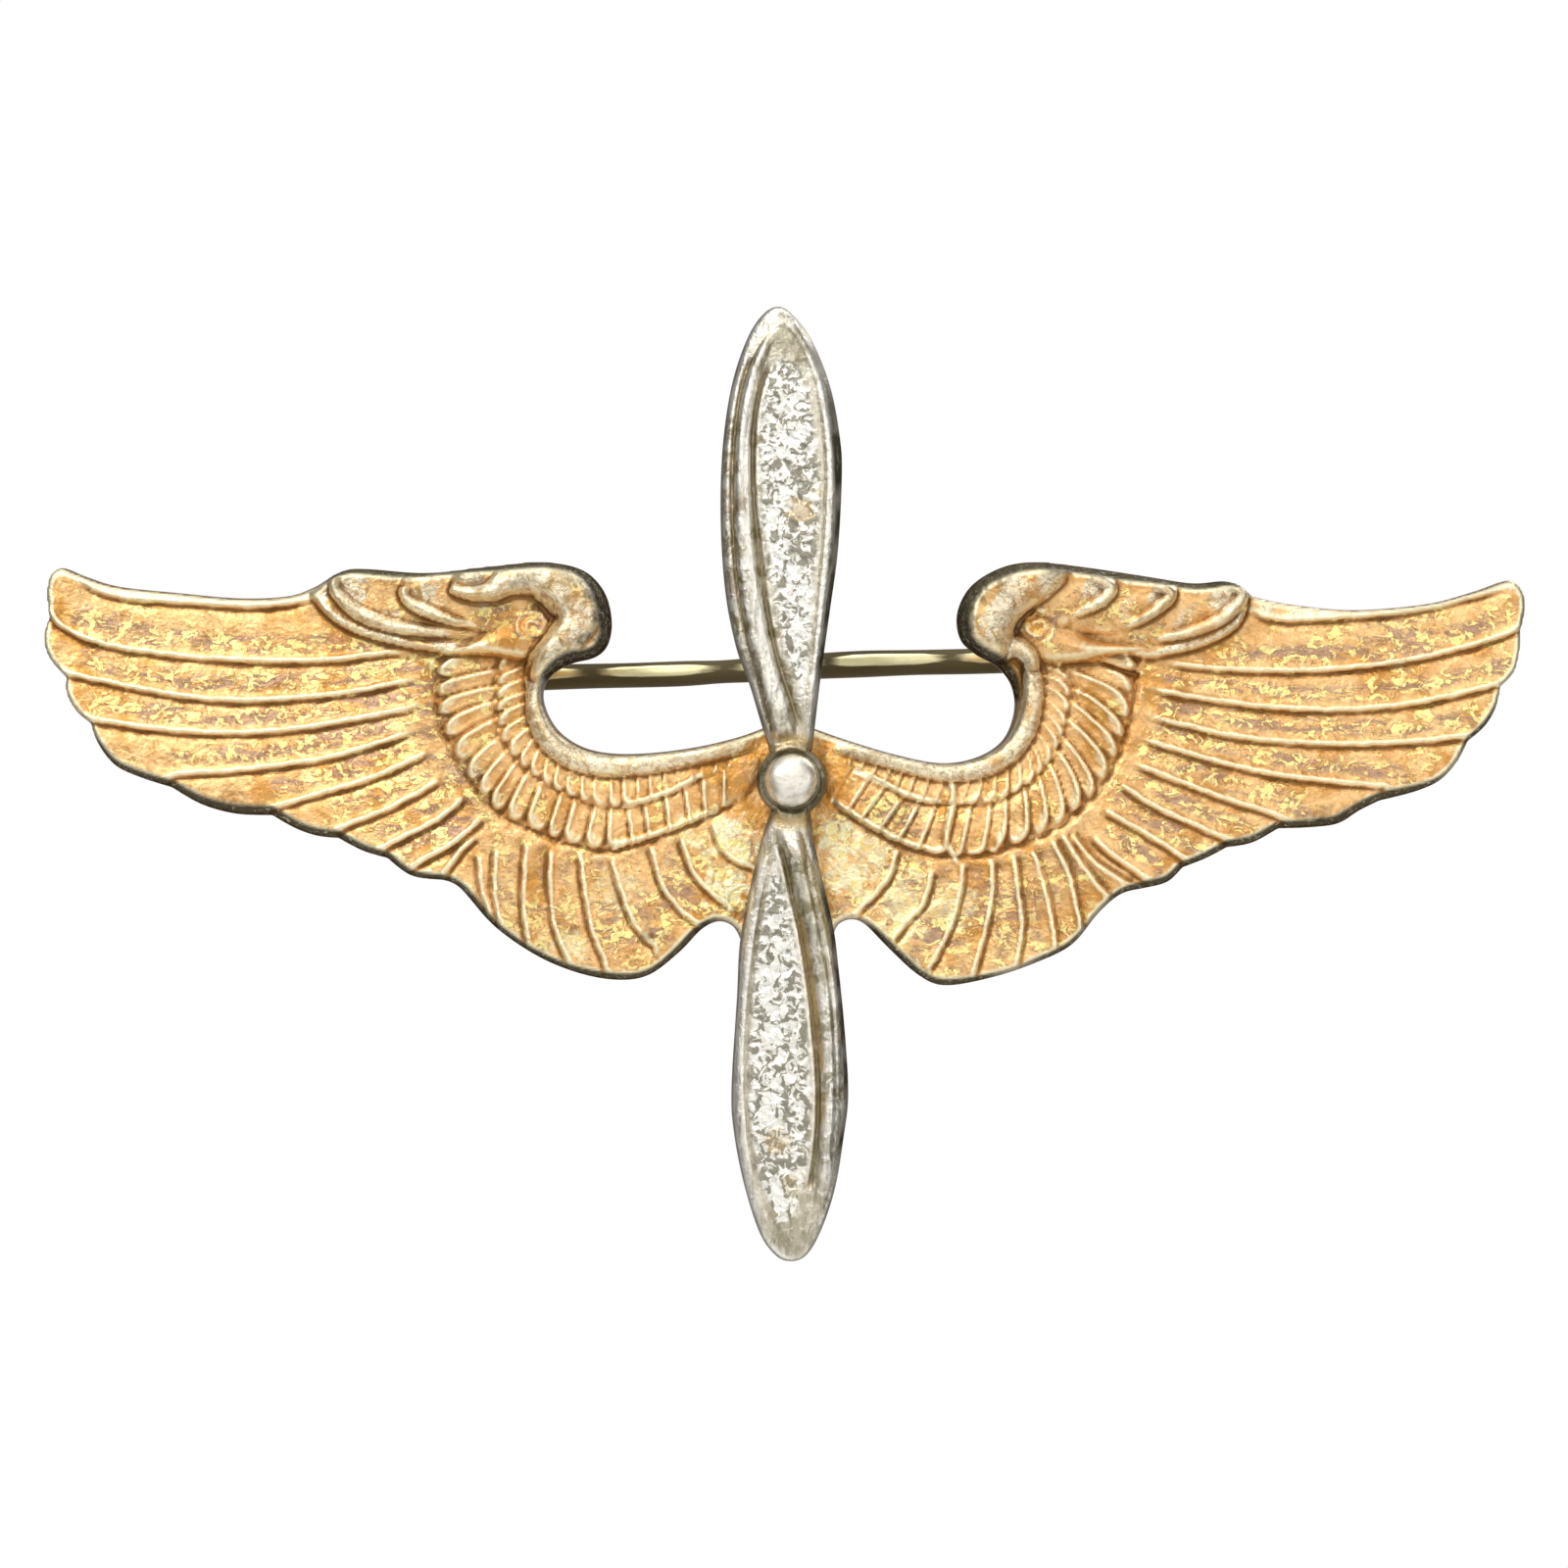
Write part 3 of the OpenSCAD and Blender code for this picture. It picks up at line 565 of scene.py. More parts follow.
# Ragged patches, each kind with its seed, and then the patches as [x, z, radius, strength].
WING_STAINS = [
    ("flake", 61, [
        [-1.35, -1.15, 0.5, 1], [-1.0, -1.3, 0.4, 1], [-1.35, -2.15, 0.5, 1], [1.0, -1.25, 0.5, 1],
        [1.15, -1.9, 0.5, 0.9], [1.5, -1.5, 0.5, 0.6], [2.3, -2.2, 0.5, 0.6], [-4.6, -3.4, 0.4, 0.6],
        [-2.0, -1.0, 0.4, 0.6], [2.2, -2.9, 0.5, 0.6], [3.2, -2.5, 0.5, 0.5], [-3.6, -2.2, 0.5, 0.4]
    ]),
    ("crust", 71, [
        [1.8, -0.7, 0.5, 0.9], [2.4, -0.85, 0.4, 1], [-2.75, -3.15, 0.2, 1], [-3.6, -3.45, 0.25, 0.8],
        [3.0, -2.4, 0.5, 0.8], [-14.2, 3.1, 0.5, 0.7], [12.5, 2.9, 0.9, 0.6], [-8.5, 2.8, 0.6, 0.6],
        [7.6, 2.35, 0.3, 0.3], [2.2, -2.0, 0.7, 0.8], [3.0, -3.0, 0.7, 0.8], [4.3, -2.6, 0.8, 0.6],
        [1.5, -2.3, 0.4, 0.7], [-2.4, -2.2, 0.6, 0.6], [-3.6, -2.9, 0.7, 0.6], [-5.0, -2.8, 0.6, 0.5],
        [1.0, -0.9, 0.4, 0.6]
    ]),
    ("amber", 81, [
        [-0.9, -0.45, 0.5, 0.9], [0.9, 0.5, 0.6, 0.9], [-0.8, 0.75, 0.4, 0.8], [0.85, -0.3, 0.3, 0.9],
        [-5.6, 2.75, 0.7, 0.6], [4.5, 2.35, 0.5, 0.8], [-7.0, 1.0, 0.6, 0.25], [-0.8, -2.2, 0.3, 0.6],
        [8.6, 2.85, 0.5, 0.4], [-9.6, 3.2, 0.7, 0.5], [4.9, 3.1, 0.4, 0.5]
    ]),
    ("silver", 91, [
        [4.3, 3.3, 0.45, 1], [4.6, 3.8, 0.45, 1], [5.15, 4.02, 0.35, 1], [4.1, 3.0, 0.3, 0.7],
        [-4.6, 3.8, 0.5, 0.9], [-4.3, 3.3, 0.4, 0.9], [-5.4, 4.15, 0.4, 0.8], [6.2, 3.95, 0.3, 0.7],
        [7.5, 3.8, 0.3, 0.7], [8.8, 3.7, 0.4, 0.6], [-9.0, 3.85, 0.4, 0.7], [-7.5, 3.7, 0.4, 0.6],
        [-6.4, 3.95, 0.4, 0.7], [-8.2, 3.25, 0.3, 0.6], [8.1, 3.2, 0.4, 0.5], [6.9, 3.5, 0.3, 0.4]
    ]),
    ("crust", 96, [
        [-5.25, 3.15, 0.5, 1], [5.0, 3.15, 0.45, 0.8], [-6.0, 3.4, 0.4, 0.8], [6.0, 3.6, 0.4, 0.5],
        [7.2, 3.1, 0.4, 0.6]
    ]),
    # Painted shade: dark patches along the shoulders' edges and under them, and at a few places on the
    # lower edges.
    ("painted_shade", 63, [
        [-3.72, 3.35, 0.35, 1], [-4.0, 2.75, 0.35, 1], [-3.95, 3.95, 0.4, 0.9], [-4.6, 4.38, 0.4, 0.8],
        [-5.6, 4.45, 0.4, 0.6], [-6.6, 4.36, 0.5, 0.6], [-7.6, 4.25, 0.4, 0.6], [3.45, 3.3, 0.35, 0.9],
        [3.65, 3.9, 0.35, 0.9], [4.2, 4.3, 0.4, 0.8], [3.7, 2.75, 0.3, 0.9], [-4.35, 2.5, 0.3, 0.8],
        [-5.0, -3.65, 0.3, 0.4], [2.4, -3.75, 0.35, 0.6], [-2.9, -3.1, 0.2, 0.8], [5.4, 4.5, 0.4, 0.6],
        [6.6, 4.3, 0.4, 0.5], [2.0, -0.75, 0.5, 0.4], [8.8, 4.1, 0.3, 0.5], [-11.5, -0.55, 0.5, 0.5],
        [11.0, -0.85, 0.5, 0.5], [-4.2, 3.95, 0.5, 0.55], [-5.4, 4.25, 0.4, 0.5], [-7.2, 4.1, 0.4, 0.5],
        [-8.4, 4.15, 0.4, 0.5], [-6.3, 4.2, 0.4, 0.5], [-4.9, 2.75, 0.3, 0.4], [4.0, 3.85, 0.4, 0.25],
        [3.9, 3.0, 0.4, 0.3], [-9.2, 4.1, 0.3, 0.5]
    ]),
]

LEADING_EDGES = [
    [[-14.6, 4.06], [-14.26, 3.84], [-13.65, 3.66], [-12.5, 3.58], [-11.5, 3.51], [-10.8, 3.5],
     [-10, 3.6], [-9.7, 3.66]],
    [[9.3, 3.4], [10, 3.22], [11, 3.25], [12, 3.33], [13, 3.47], [14, 3.72], [14.6, 3.88]],
]

# The beads that close the covert rows towards the hub, and the plumes behind the right shoulder.
BEADS = [
    [[-3.75, -1.3], [-3.2, -1.2], [-2.6, -1.02], [-2.0, -0.78], [-1.6, -0.66]],
    [[-3.4, -0.5], [-2.9, -0.36], [-2.3, -0.12], [-1.9, 0.1]],
    [[0.85, -0.4], [1.6, -0.88], [2.3, -1.24], [2.8, -1.38], [3.1, -1.38]],
    [[1.3, 0.2], [1.9, -0.06], [2.4, -0.28], [3.0, -0.42]],
]
PLUMES = [
    [[5.7, 2.86], [6.3, 2.95], [7.05, 2.9]],
    [[5.75, 2.62], [6.4, 2.6], [7.1, 2.52]],
    [[5.6, 2.4], [6.3, 2.38], [7.0, 2.22]],
]

# A crack in the die left a raised vein across the right wing's coverts.
VEIN = [[3.15, 0.3], [3.27, -0.12], [3.3, -0.43], [3.2, -0.78], [3.15, -1.2], [3.35, -1.6],
        [3.45, -1.8]]

# The curl on each shoulder: its middle, and the way it turns.
CURLS = [(-5.25, 3.15, 1), (5.0, 3.15, -1)]
CURL_POINTS = 24

# The width of the slope at the edge, and where it is more: [centre], reach and extra width.
LEAST_DRAFT = 0.1
DRAFT = [
    ([-12.0, -0.5], 1.6, 0.16), ([-9.6, -1.1], 1.2, 0.12), ([-8.0, -1.8], 1.0, 0.08),
    ([-6.6, -2.6], 0.8, 0.1), ([-3.8, -4.1], 1.2, 0.12), ([-5.6, -3.5], 1.0, 0.06),
    ([11.2, -0.8], 1.6, 0.16), ([9.0, -1.4], 1.0, 0.1), ([7.4, -2.2], 0.9, 0.12),
    ([3.2, -4.2], 1.0, 0.1), ([5.5, -3.5], 1.0, 0.06),
    ([-8.5, 4.4], 1.2, 0.1), ([-5.5, 4.5], 1.2, 0.14), ([-3.7, 3.6], 0.9, 0.25),
    ([4.4, 4.4], 1.0, 0.2), ([6.4, 4.3], 1.4, 0.18), ([3.4, 3.3], 0.8, 0.2), ([-2.0, -3.2], 0.7, 0.08),
    ([-10.8, -0.7], 0.6, 0.06), ([-13.9, 0.3], 0.8, 0.06), ([14.1, 1.1], 0.8, 0.06),
    ([1.9, -3.4], 0.7, 0.08), ([12.5, -0.3], 0.8, 0.06), ([14.9, 3.4], 0.6, 0.04),
    ([8.4, 4.1], 0.8, 0.1), ([-4.5, 2.3], 0.5, 0.2), ([4.35, 2.2], 0.5, 0.2),
]

# The wings are no higher than TOP_OF_PLATE here, under the propeller.
KEEP_CLEAR = [
    [-0.7, 1.4], [-0.85, 0.6], [-0.9, -0.6], [-0.85, -1.6], [-1.15, -3.3], [0, -3.6], [1.0, -3.2],
    [0.65, -1.6], [0.85, -0.6], [0.8, 0.6], [0.6, 1.4]
]
EDGE_SHADE = (0.08, 0.42)  # how far up the slope the painted shade at the edges starts and is full


def between(relief, inner, outer, hand):
    """The points between two curves that run from the shoulder to the hub: their indices,
    and how far they are along the curves and across from inner to outer, from 0 to 1."""
    inner, outer = smooth(inner), smooth(outer)
    even = np.linspace(0, 1, 80)
    middle = (along(inner, even) + along(outer, even)) / 2
    index, _, u = relief.cloud.follow(middle, 1.2)
    near = Cloud(relief.points[index])
    side = {}
    for key, curve in (("inner", inner), ("outer", outer)):
        rows, dist, _ = near.follow(curve, 2.5)
        side[key] = np.full(len(index), -9.0)
        side[key][rows] = dist * hand * (-1 if key == "inner" else 1)
    row = np.flatnonzero((side["inner"] > 0) & (side["outer"] > 0) & (u > 0.001) & (u < 0.999))
    v = side["inner"][row] / (side["inner"][row] + side["outer"][row])
    return index[row], u[row], v


def lobes(relief, inner, outer, hand, count, slant, square, rise, seed):
    """A row of small overlapping feathers between two curves. hand is 1 on the left wing
    and -1 on the right. slant is how many feathers a tip lies beyond its root, and past
    square (0 to 1 along the row) the tips are straight. The row has a few spare feathers at
    both ends, which the slant can bring in."""
    index, u, v = between(relief, inner, outer, hand)
    rng = np.random.default_rng(seed)
    lean = np.interp(u, np.linspace(0, 1, len(slant)), slant)
    spare = 4
    total = count + 2 * spare + 2
    place = u * count + lean * (0.85 - v) + spare
    starts = np.arange(total) + rng.uniform(-0.13, 0.13, total)
    which = np.clip(np.searchsorted(starts, place) - 1, 0, total - 2)
    across = (place - starts[which]) / (starts[which + 1] - starts[which])
    bold = rng.uniform(0.65, 1.25, total)[which]
    shoulder = np.where(u < square, 0.68, 0.93) + rng.uniform(-0.05, 0.05, total)[which]
    beyond = np.clip((v - shoulder) / (1.0 - shoulder), 0, None)
    edge = 1 - np.sqrt((2 * across - 1) ** 2 + beyond ** 2)
    lip = bump(edge, 0.34, 0.2) * np.where(across < 0.5, 1, 0.25 + 0.75 * np.clip(beyond, 0, 1))
    root = ease(v, 0.0, 0.35)
    groove = 1 - ease(edge, 0.0, 0.22)
    sag = 0.35 * ease(across, 0.3, 1)
    tip = bump(v, shoulder + 0.08, 0.13) * bump(across, 0.33, 0.26) * ease(edge, 0.05, 0.3)
    rise = rise * bold * np.where(u < square, 1, 0.8)
    relief.height[index] += rise * (lip * (0.3 + 0.7 * root) + 0.4 * tip - 0.75 * groove - sag)
    worn = np.maximum(lip * root * ease(v, 0.3, 0.8), 0.9 * tip)
    relief.mark("worn", index, worn * bold * np.where(u < square, 1, 0.7))


# Each wing's covert curves, its hand, the slants of its two rows, and where they turn square.
COVERT_ROWS = [
    (LEFT_COVERTS, 1, ([1.0, 0.9, -0.1, -0.5], [0.9, 0.6, -0.1, -0.9]), 0.66),
    (RIGHT_COVERTS, -1, ([1.7, 1.3, 0.4, -0.1], [1.9, 1.6, 0.6, 0]), 0.58),
]


def carve_coverts(relief):
    """Two rows of small feathers on each wing, the steps down from each row, the beads
    that close the rows towards the hub, and three plumes behind the right shoulder."""
    for (inner, middle, outer), hand, slants, square in COVERT_ROWS:
        lobes(relief, inner, middle, hand, 24, slants[0], square, 0.07, 41 + hand)
        lobes(relief, middle, outer, hand, 20, slants[1], square, 0.1, 51 + hand)
        for curve, depth in ((middle, 0.055), (outer, 0.065)):
            index, d, s = relief.cloud.follow(smooth(curve), 0.6)
            d = d * hand + 0.03 * wobble(relief.points[index], 0.45, 37)
            below = np.where(d < 0, np.exp(d / 0.15), 0)
            step = depth * (bump(d, -0.03, 0.035) + 0.5 * below)
            relief.height[index] -= step * ease(s, 0, 0.03) * ease(1 - s, 0, 0.05)
    for path in BEADS:
        relief.bead(path, 0.09, 0.09, 0.1)
        index, d, _ = relief.cloud.follow(smooth(path), 0.1)
        relief.mark("worn", index, bump(d, 0, 0.06))
    for path in PLUMES:
        relief.feather_edge(path, side=1, ridge=0.06, groove=0.1, fade=(0.15, 0))


def carve_wings():
    """The struck plate: feathers first, then what lies over them, then the edges."""
    relief = Relief(rounded(outline_of("wings", 0)), WING_STEP)
    relief.height[:] = FIELD
    for inner, _, outer in (LEFT_COVERTS, RIGHT_COVERTS):
        relief.pad(inner + outer[::-1], FIELD + 0.02, FIELD + 0.1, 0.5)
    for path in LEFT_LONG:
        relief.feather_edge(path, crust=1.0)
    for path in RIGHT_LONG:
        relief.feather_edge(path, fade=(0.12, 0), crust=0.8)
    for path in LEFT_SHORT:
        relief.feather_edge(path, ridge=0.06, groove=0.09, fade=(0.1, 0), crust=0.5)
    for path in RIGHT_SHORT:
        relief.feather_edge(path, side=-1, ridge=0.06, groove=0.09, fade=(0.1, 0), crust=0.5)
    carve_coverts(relief)
    carve_rims(relief)
    carve_layers(relief, LEFT_PADS, LEFT_ROLLS)
    carve_layers(relief, RIGHT_LAPPED_PADS, RIGHT_LAPPED_ROLLS)
    carve_layers(relief, RIGHT_ROUND_PADS, RIGHT_ROUND_ROLLS)
    carve_curls(relief)
    relief.scratch(VEIN, -0.1, 0.055, mark="worn")
    for name, seed, spots in WING_STAINS:
        relief.spot(name, spots, seed)
    finish_edges(relief)
    return relief


def carve_rims(relief):
    """The leading edges, and the rolled rims round the two loops."""
    for path in LEADING_EDGES:
        relief.feather_edge(path, ridge=0.07, fade=(0.07, 0.1))
        index, d, _ = relief.cloud.follow(smooth(path), 0.5)
        ragged = ease(wobble(relief.points[index], 0.9, 5), -0.9, 0.3)
        relief.mark("silver", index, 0.6 * ease(d, 0, 0.08) * ragged)
        relief.mark("worn", index, 0.8 * bump(d, 0.14, 0.07))
    carve_layers(relief, [], RIM_ROLLS)


def carve_layers(relief, pads, rolls):
    """Pads laid over each other, lowest first, and then the rolls that are worn to silver."""
    for pad in pads:
        relief.pad(*pad)
    for path, halves, top, fade in rolls:
        relief.tube(path, halves, top, fade, "silver")


def carve_curls(relief):
    """A curl raised on each shoulder."""
    rng = np.random.default_rng(95)
    for x, z, turn in CURLS:
        angle = np.linspace(0.5, 11.0, CURL_POINTS)
        radius = 0.07 + 0.028 * angle + rng.uniform(-0.03, 0.03, CURL_POINTS)
        curl = np.stack([x + turn * radius * np.cos(angle), z + radius * np.sin(angle)], axis=1)
        index, d, s = relief.cloud.follow(smooth(curl), 0.15)
        relief.height[index] += 0.05 * bump(d, 0, 0.045) * ease(1 - s, 0, 0.1)


def finish_edges(relief):
    """Rounds the front over to the outline, with a wider slope where the die had draft, paints
    shade on that slope, and keeps the wings clear of the propeller's underside."""
    p = relief.points
    draft = np.full(len(p), LEAST_DRAFT)
    for centre, reach, extra in DRAFT:
        draft += extra * np.exp(-(np.linalg.norm(p - centre, axis=1) / reach) ** 2)
    relief.height = relief.relaxed(relief.height, 1, 0.6)
    relief.height += 0.010 * wobble(p, 0.55, 3) + 0.006 * wobble(p, 0.19, 4)
    t = np.clip(relief.depth / draft, 0, 1)
    relief.height = WALL + (relief.height - WALL) * np.sqrt(1 - (1 - t) ** 2.2)
    # Painted shade on the slope at the outline, stronger where the slope is wider.
    painted_dark = 0.45 + 0.55 * ease(draft, LEAST_DRAFT + 0.01, LEAST_DRAFT + 0.06)
    relief.mark("dark", slice(None), painted_dark * ease(1 - t, *EDGE_SHADE))
    under = relief.cloud.depth_in(looped(KEEP_CLEAR, 3), 0.2) > -0.15
    relief.height[under] = np.minimum(relief.height[under], TOP_OF_PLATE)


# ---------------------------------------------------------------- propeller

BLADE_STEP = 0.03
BLADE_SIDE, CROWN, CROWN_WIDTH = 0.24, 0.24, 0.45  # the blades' height, and how they round up
BLADE_WALL = 0.12  # their lowest height at the outline

# Tarnish lies in the grooves beside the spars, darkest at the hub.
HUB_GROOVES = [
    [[-0.36, 0.8], [-0.5, 1.4], [-0.66, 2.1], [-0.82, 2.9]],
    [[0.2, 0.9], [0.13, 1.4], [-0.06, 2.0], [-0.24, 2.6]],
    [[-0.34, -0.9], [-0.24, -1.4], [-0.08, -2.0], [0.06, -2.7]],
    [[0.17, -0.95], [0.32, -1.6], [0.48, -2.3], [0.66, -3.1]],
]

# The outlines of the corroded panels, and the blades' ragged patches.
UPPER_PANEL = [
    [0.27, 1.4], [0.02, 1.98], [-0.16, 2.5], [-0.28, 3.0], [-0.44, 4.0], [-0.6, 5.0], [-0.7, 6.1],
    [-0.7, 7.1], [-0.56, 8.1], [-0.3, 8.6], [0.08, 8.55], [0.34, 8.1], [0.52, 7.1], [0.62, 6.1],
    [0.6, 5.1], [0.5, 4.0], [0.43, 3.0], [0.35, 1.98]
]
LOWER_PANEL = [
    [-0.35, -1.4], [-0.62, -2.6], [-0.82, -4], [-0.94, -5.6], [-0.9, -7], [-0.66, -8.2], [-0.3, -9.0],
    [0.06, -8.9], [0.34, -8.0], [0.44, -6.6], [0.36, -5], [0.18, -3.6], [-0.04, -2.4]
]
BLADE_STAINS = [
    ("olive", 19, [
        [-1.3, 5.6, 0.35, 1], [-1.3, 4.8, 0.35, 1], [-1.2, 4.0, 0.35, 1], [-1.1, 3.2, 0.3, 1],
        [-1.35, 6.4, 0.3, 1], [-1.3, 7.1, 0.3, 0.8], [-0.62, 4.3, 0.15, 1], [-0.68, 5.0, 0.15, 1],
        [-0.7, 6.9, 0.15, 1], [-0.35, 3.0, 0.15, 1], [-0.1, 2.1, 0.15, 1], [-0.9, 2.4, 0.3, 0.8],
        [0.05, 1.5, 0.12, 1], [-0.7, 5.9, 0.12, 0.8], [-0.05, 8.95, 0.35, 0.6], [0.1, 8.7, 0.3, 0.5],
        [-0.4, 8.9, 0.25, 0.5], [0.85, 4.6, 0.2, 0.6], [0.75, 3.2, 0.15, 0.7], [0.6, 2.4, 0.15, 0.6]
    ]),
    ("olive", 16, [
        [0.8, -5.0, 0.4, 0.8], [0.9, -6.2, 0.4, 0.9], [0.8, -7.4, 0.4, 0.6], [0.5, -8.5, 0.5, 0.5],
        [0.1, -9.2, 0.5, 0.5], [-0.5, -9.0, 0.4, 0.4], [0.6, -3.8, 0.35, 0.8], [0.35, -2.6, 0.3, 1],
        [0.1, -1.7, 0.3, 1], [-0.4, -1.5, 0.25, 0.8], [-0.6, -2.4, 0.2, 0.6]
    ]),
    ("amber", 14, [
        [0.2, 5.5, 0.28, 0.8], [0.5, 5.9, 0.12, 0.5], [-0.3, -7.3, 0.3, 0.5], [0.1, -8.2, 0.3, 0.5],
        [-0.6, -5.2, 0.15, 0.3]
    ]),
    ("dull", 17, [
        [0.1, -1.2, 0.5, 1], [0.35, -2.2, 0.5, 1], [0.55, -3.1, 0.4, 0.8], [-0.15, 1.2, 0.5, 0.8],
        [-0.1, 8.85, 0.4, 1], [0.1, 8.5, 0.35, 0.8], [-0.5, 8.4, 0.3, 0.7], [0.3, -9.3, 0.5, 0.6]
    ]),
]


def carve_propeller(seat):
    """Two blades and the hub, on the face of the plate at the height of seat."""
    relief = Relief(rounded(outline_of("propeller", -seat)), BLADE_STEP)
    t = np.clip(relief.depth / CROWN_WIDTH, 0, 1)
    relief.height = BLADE_SIDE + CROWN * np.sqrt(1 - (1 - t) ** 2)
    carve_upper_blade(relief)
    carve_lower_blade(relief)
    for path in HUB_GROOVES:
        relief.scratch(path, 0.03, 0.055, 0.2, "olive")
    carve_panels(relief)
    for name, seed, spots in BLADE_STAINS:
        relief.spot(name, spots, seed)
    carve_hub(relief)
    finish_blades(relief)
    relief.height += seat
    return relief


def carve_upper_blade(relief):
    """A flange on the left, a spar between two grooves, and a border that goes round the tip."""
    relief.tube([[-0.12, 0.8], [-0.32, 1.6], [-0.6, 2.5], [-0.82, 3.6], [-0.96, 4.8],
                 [-1.0, 6.2], [-0.95, 7.4], [-0.76, 8.3], [-0.5, 8.9], [-0.25, 9.2]],
                [0.24, 0.25, 0.23, 0.19, 0.16, 0.13, 0.08], 0.66, (0.03, 0.1), "polish")
    relief.scratch([[-0.4, 0.95], [-0.68, 2], [-0.93, 3], [-1.1, 4], [-1.19, 5], [-1.22, 6],
                    [-1.17, 7], [-1.03, 8], [-0.8, 8.7]], 0.1, 0.04, 0.04)
    relief.scratch([[-0.24, 1.2], [-0.5, 2.4], [-0.76, 3.6], [-0.9, 4.8], [-0.95, 6.2],
                    [-0.9, 7.4], [-0.7, 8.2]], 0.035, 0.028)
    relief.scratch([[0.16, 1.05], [0.0, 1.6], [-0.26, 2.4], [-0.47, 3.3], [-0.62, 4.4],
                    [-0.74, 5.4], [-0.79, 6.3], [-0.76, 7.3], [-0.6, 8.1], [-0.4, 8.6]],
                   0.1, 0.045, 0.05)
    relief.bead([[0.34, 1.4], [0.48, 2.4], [0.62, 3.8], [0.74, 5], [0.79, 6.3], [0.7, 7.4],
                 [0.5, 8.3], [0.22, 8.95], [-0.08, 9.3], [-0.35, 9.32]], 0.1, 0.06)
    relief.scratch([[0.28, 1.45], [0.4, 2.4], [0.52, 3.8], [0.63, 5], [0.67, 6.3], [0.58, 7.4],
                    [0.4, 8.2]], 0.045, 0.03)


def carve_lower_blade(relief):
    """The spar and its grooves on the right, with an amber seam, and a border on the left."""
    relief.tube([[-0.08, -0.85], [0.12, -1.5], [0.32, -2.3], [0.5, -3.1], [0.66, -4],
                 [0.76, -5.2], [0.78, -6.6], [0.7, -7.8], [0.5, -8.9]],
                [0.2, 0.22, 0.22, 0.2, 0.18, 0.1], 0.64, (0.08, 0.15), "polish")
    relief.scratch([[-0.3, -1.15], [-0.12, -1.7], [0.02, -2.4], [0.18, -3.1], [0.34, -4.1],
                    [0.46, -5.2], [0.54, -6.4], [0.48, -7.5], [0.34, -8.4]], 0.11, 0.045, 0.04)
    relief.scratch([[0.08, -2.4], [0.26, -3.3], [0.42, -4.3], [0.55, -5.3], [0.62, -6.3],
                    [0.56, -7.3]], 0, 0.07, mark="amber")
    relief.scratch([[0.18, -1.0], [0.42, -2.3], [0.62, -3.2], [0.78, -4.1], [0.88, -5.3],
                    [0.9, -6.6], [0.8, -7.8]], 0.09, 0.05, 0.06)
    relief.bead([[-0.5, -1.3], [-0.72, -2.4], [-0.88, -3.4], [-1.0, -4.6], [-1.06, -6],
                 [-0.98, -7.4], [-0.76, -8.5], [-0.4, -9.3]], 0.12, 0.06)
    relief.scratch([[-0.42, -1.6], [-0.62, -2.6], [-0.78, -3.6], [-0.9, -4.8], [-0.94, -6],
                    [-0.86, -7.3], [-0.64, -8.3]], 0.05, 0.04)


def carve_panels(relief):
    """The corroded panels, sunk in pits."""
    p = relief.points
    for loop, seed in ((UPPER_PANEL, 11), (LOWER_PANEL, 12)):
        depth = relief.cloud.depth_in(looped(loop), 0.4)
        pits = wobble(p, 0.34, seed) + 0.7 * wobble(p, 0.19, seed + 5)
        relief.height -= 0.03 * ease(pits, 0.2, 0.9) * ease(depth, 0, 0.2)
        edge = depth + 0.05 * wobble(p, 0.5, seed + 9) + 0.03 * wobble(p, 0.2, seed + 10)
        relief.mark("panel", slice(None), ease(edge, 0.0, 0.12))


def carve_hub(relief):
    """A collar with a groove round the rivet's head, and shade painted in the groove and round it."""
    r = np.linalg.norm(relief.points, axis=1)
    collar = 0.5 + 0.05 * bump(r, 0.7, 0.08) - 0.1 * bump(r, 0.57, 0.045)
    hub = ease(0.84 - r, 0, 0.16)
    relief.height = relief.height * (1 - hub) + collar * hub
    relief.mark("amber", slice(None), bump(r, 0.82, 0.16))
    relief.mark("dull", slice(None), ease(0.95 - r, 0, 0.2))
    # Painted shade: a thin dark ring in the groove under the rivet's head, and an olive ring round it.
    relief.mark("dark", slice(None), 0.3 * bump(r, 0.56, 0.04))
    relief.mark("olive", slice(None), bump(r, 0.64, 0.12))


def finish_blades(relief):
    """Slopes the blades' edges, most at the upper tip, and paints shade on them, darkest on the right."""
    p = relief.points
    x, z = p.T
    right = ease(x, 0.2, 0.5) * ease(np.abs(z), 1.5, 3.5) * ease(8.6 - np.abs(z), 0, 2)
    top = ease(z, 5.0, 7.0) * ease(x, 0, 0.3)
    left = ease(-x, 0.8, 1.2) * ease(z, 2, 3.5)
    root = ease(3.4 - np.abs(z), 0, 1.4)
    width = 0.08 + 0.06 * right + 0.12 * top + 0.05 * left + 0.05 * root
    patchy = 0.95 + 0.3 * wobble(p, 0.9, 27)
    relief.height = relief.relaxed(relief.height, 1, 0.6)
    relief.height += 0.005 * wobble(p, 0.4, 7)
    t = np.clip(relief.depth / width, 0, 1)
    relief.height = BLADE_WALL + (relief.height - BLADE_WALL) * np.sqrt(1 - (1 - t) ** 2)
    # Painted shade on the blades' edge slopes, darkest on the right and at the roots.
    painted_dark = (0.62 + 0.38 * right + 0.12 * root) * patchy
    relief.mark("dark", slice(None), painted_dark * ease(1 - t, *EDGE_SHADE))


# ---------------------------------------------------------------- materials

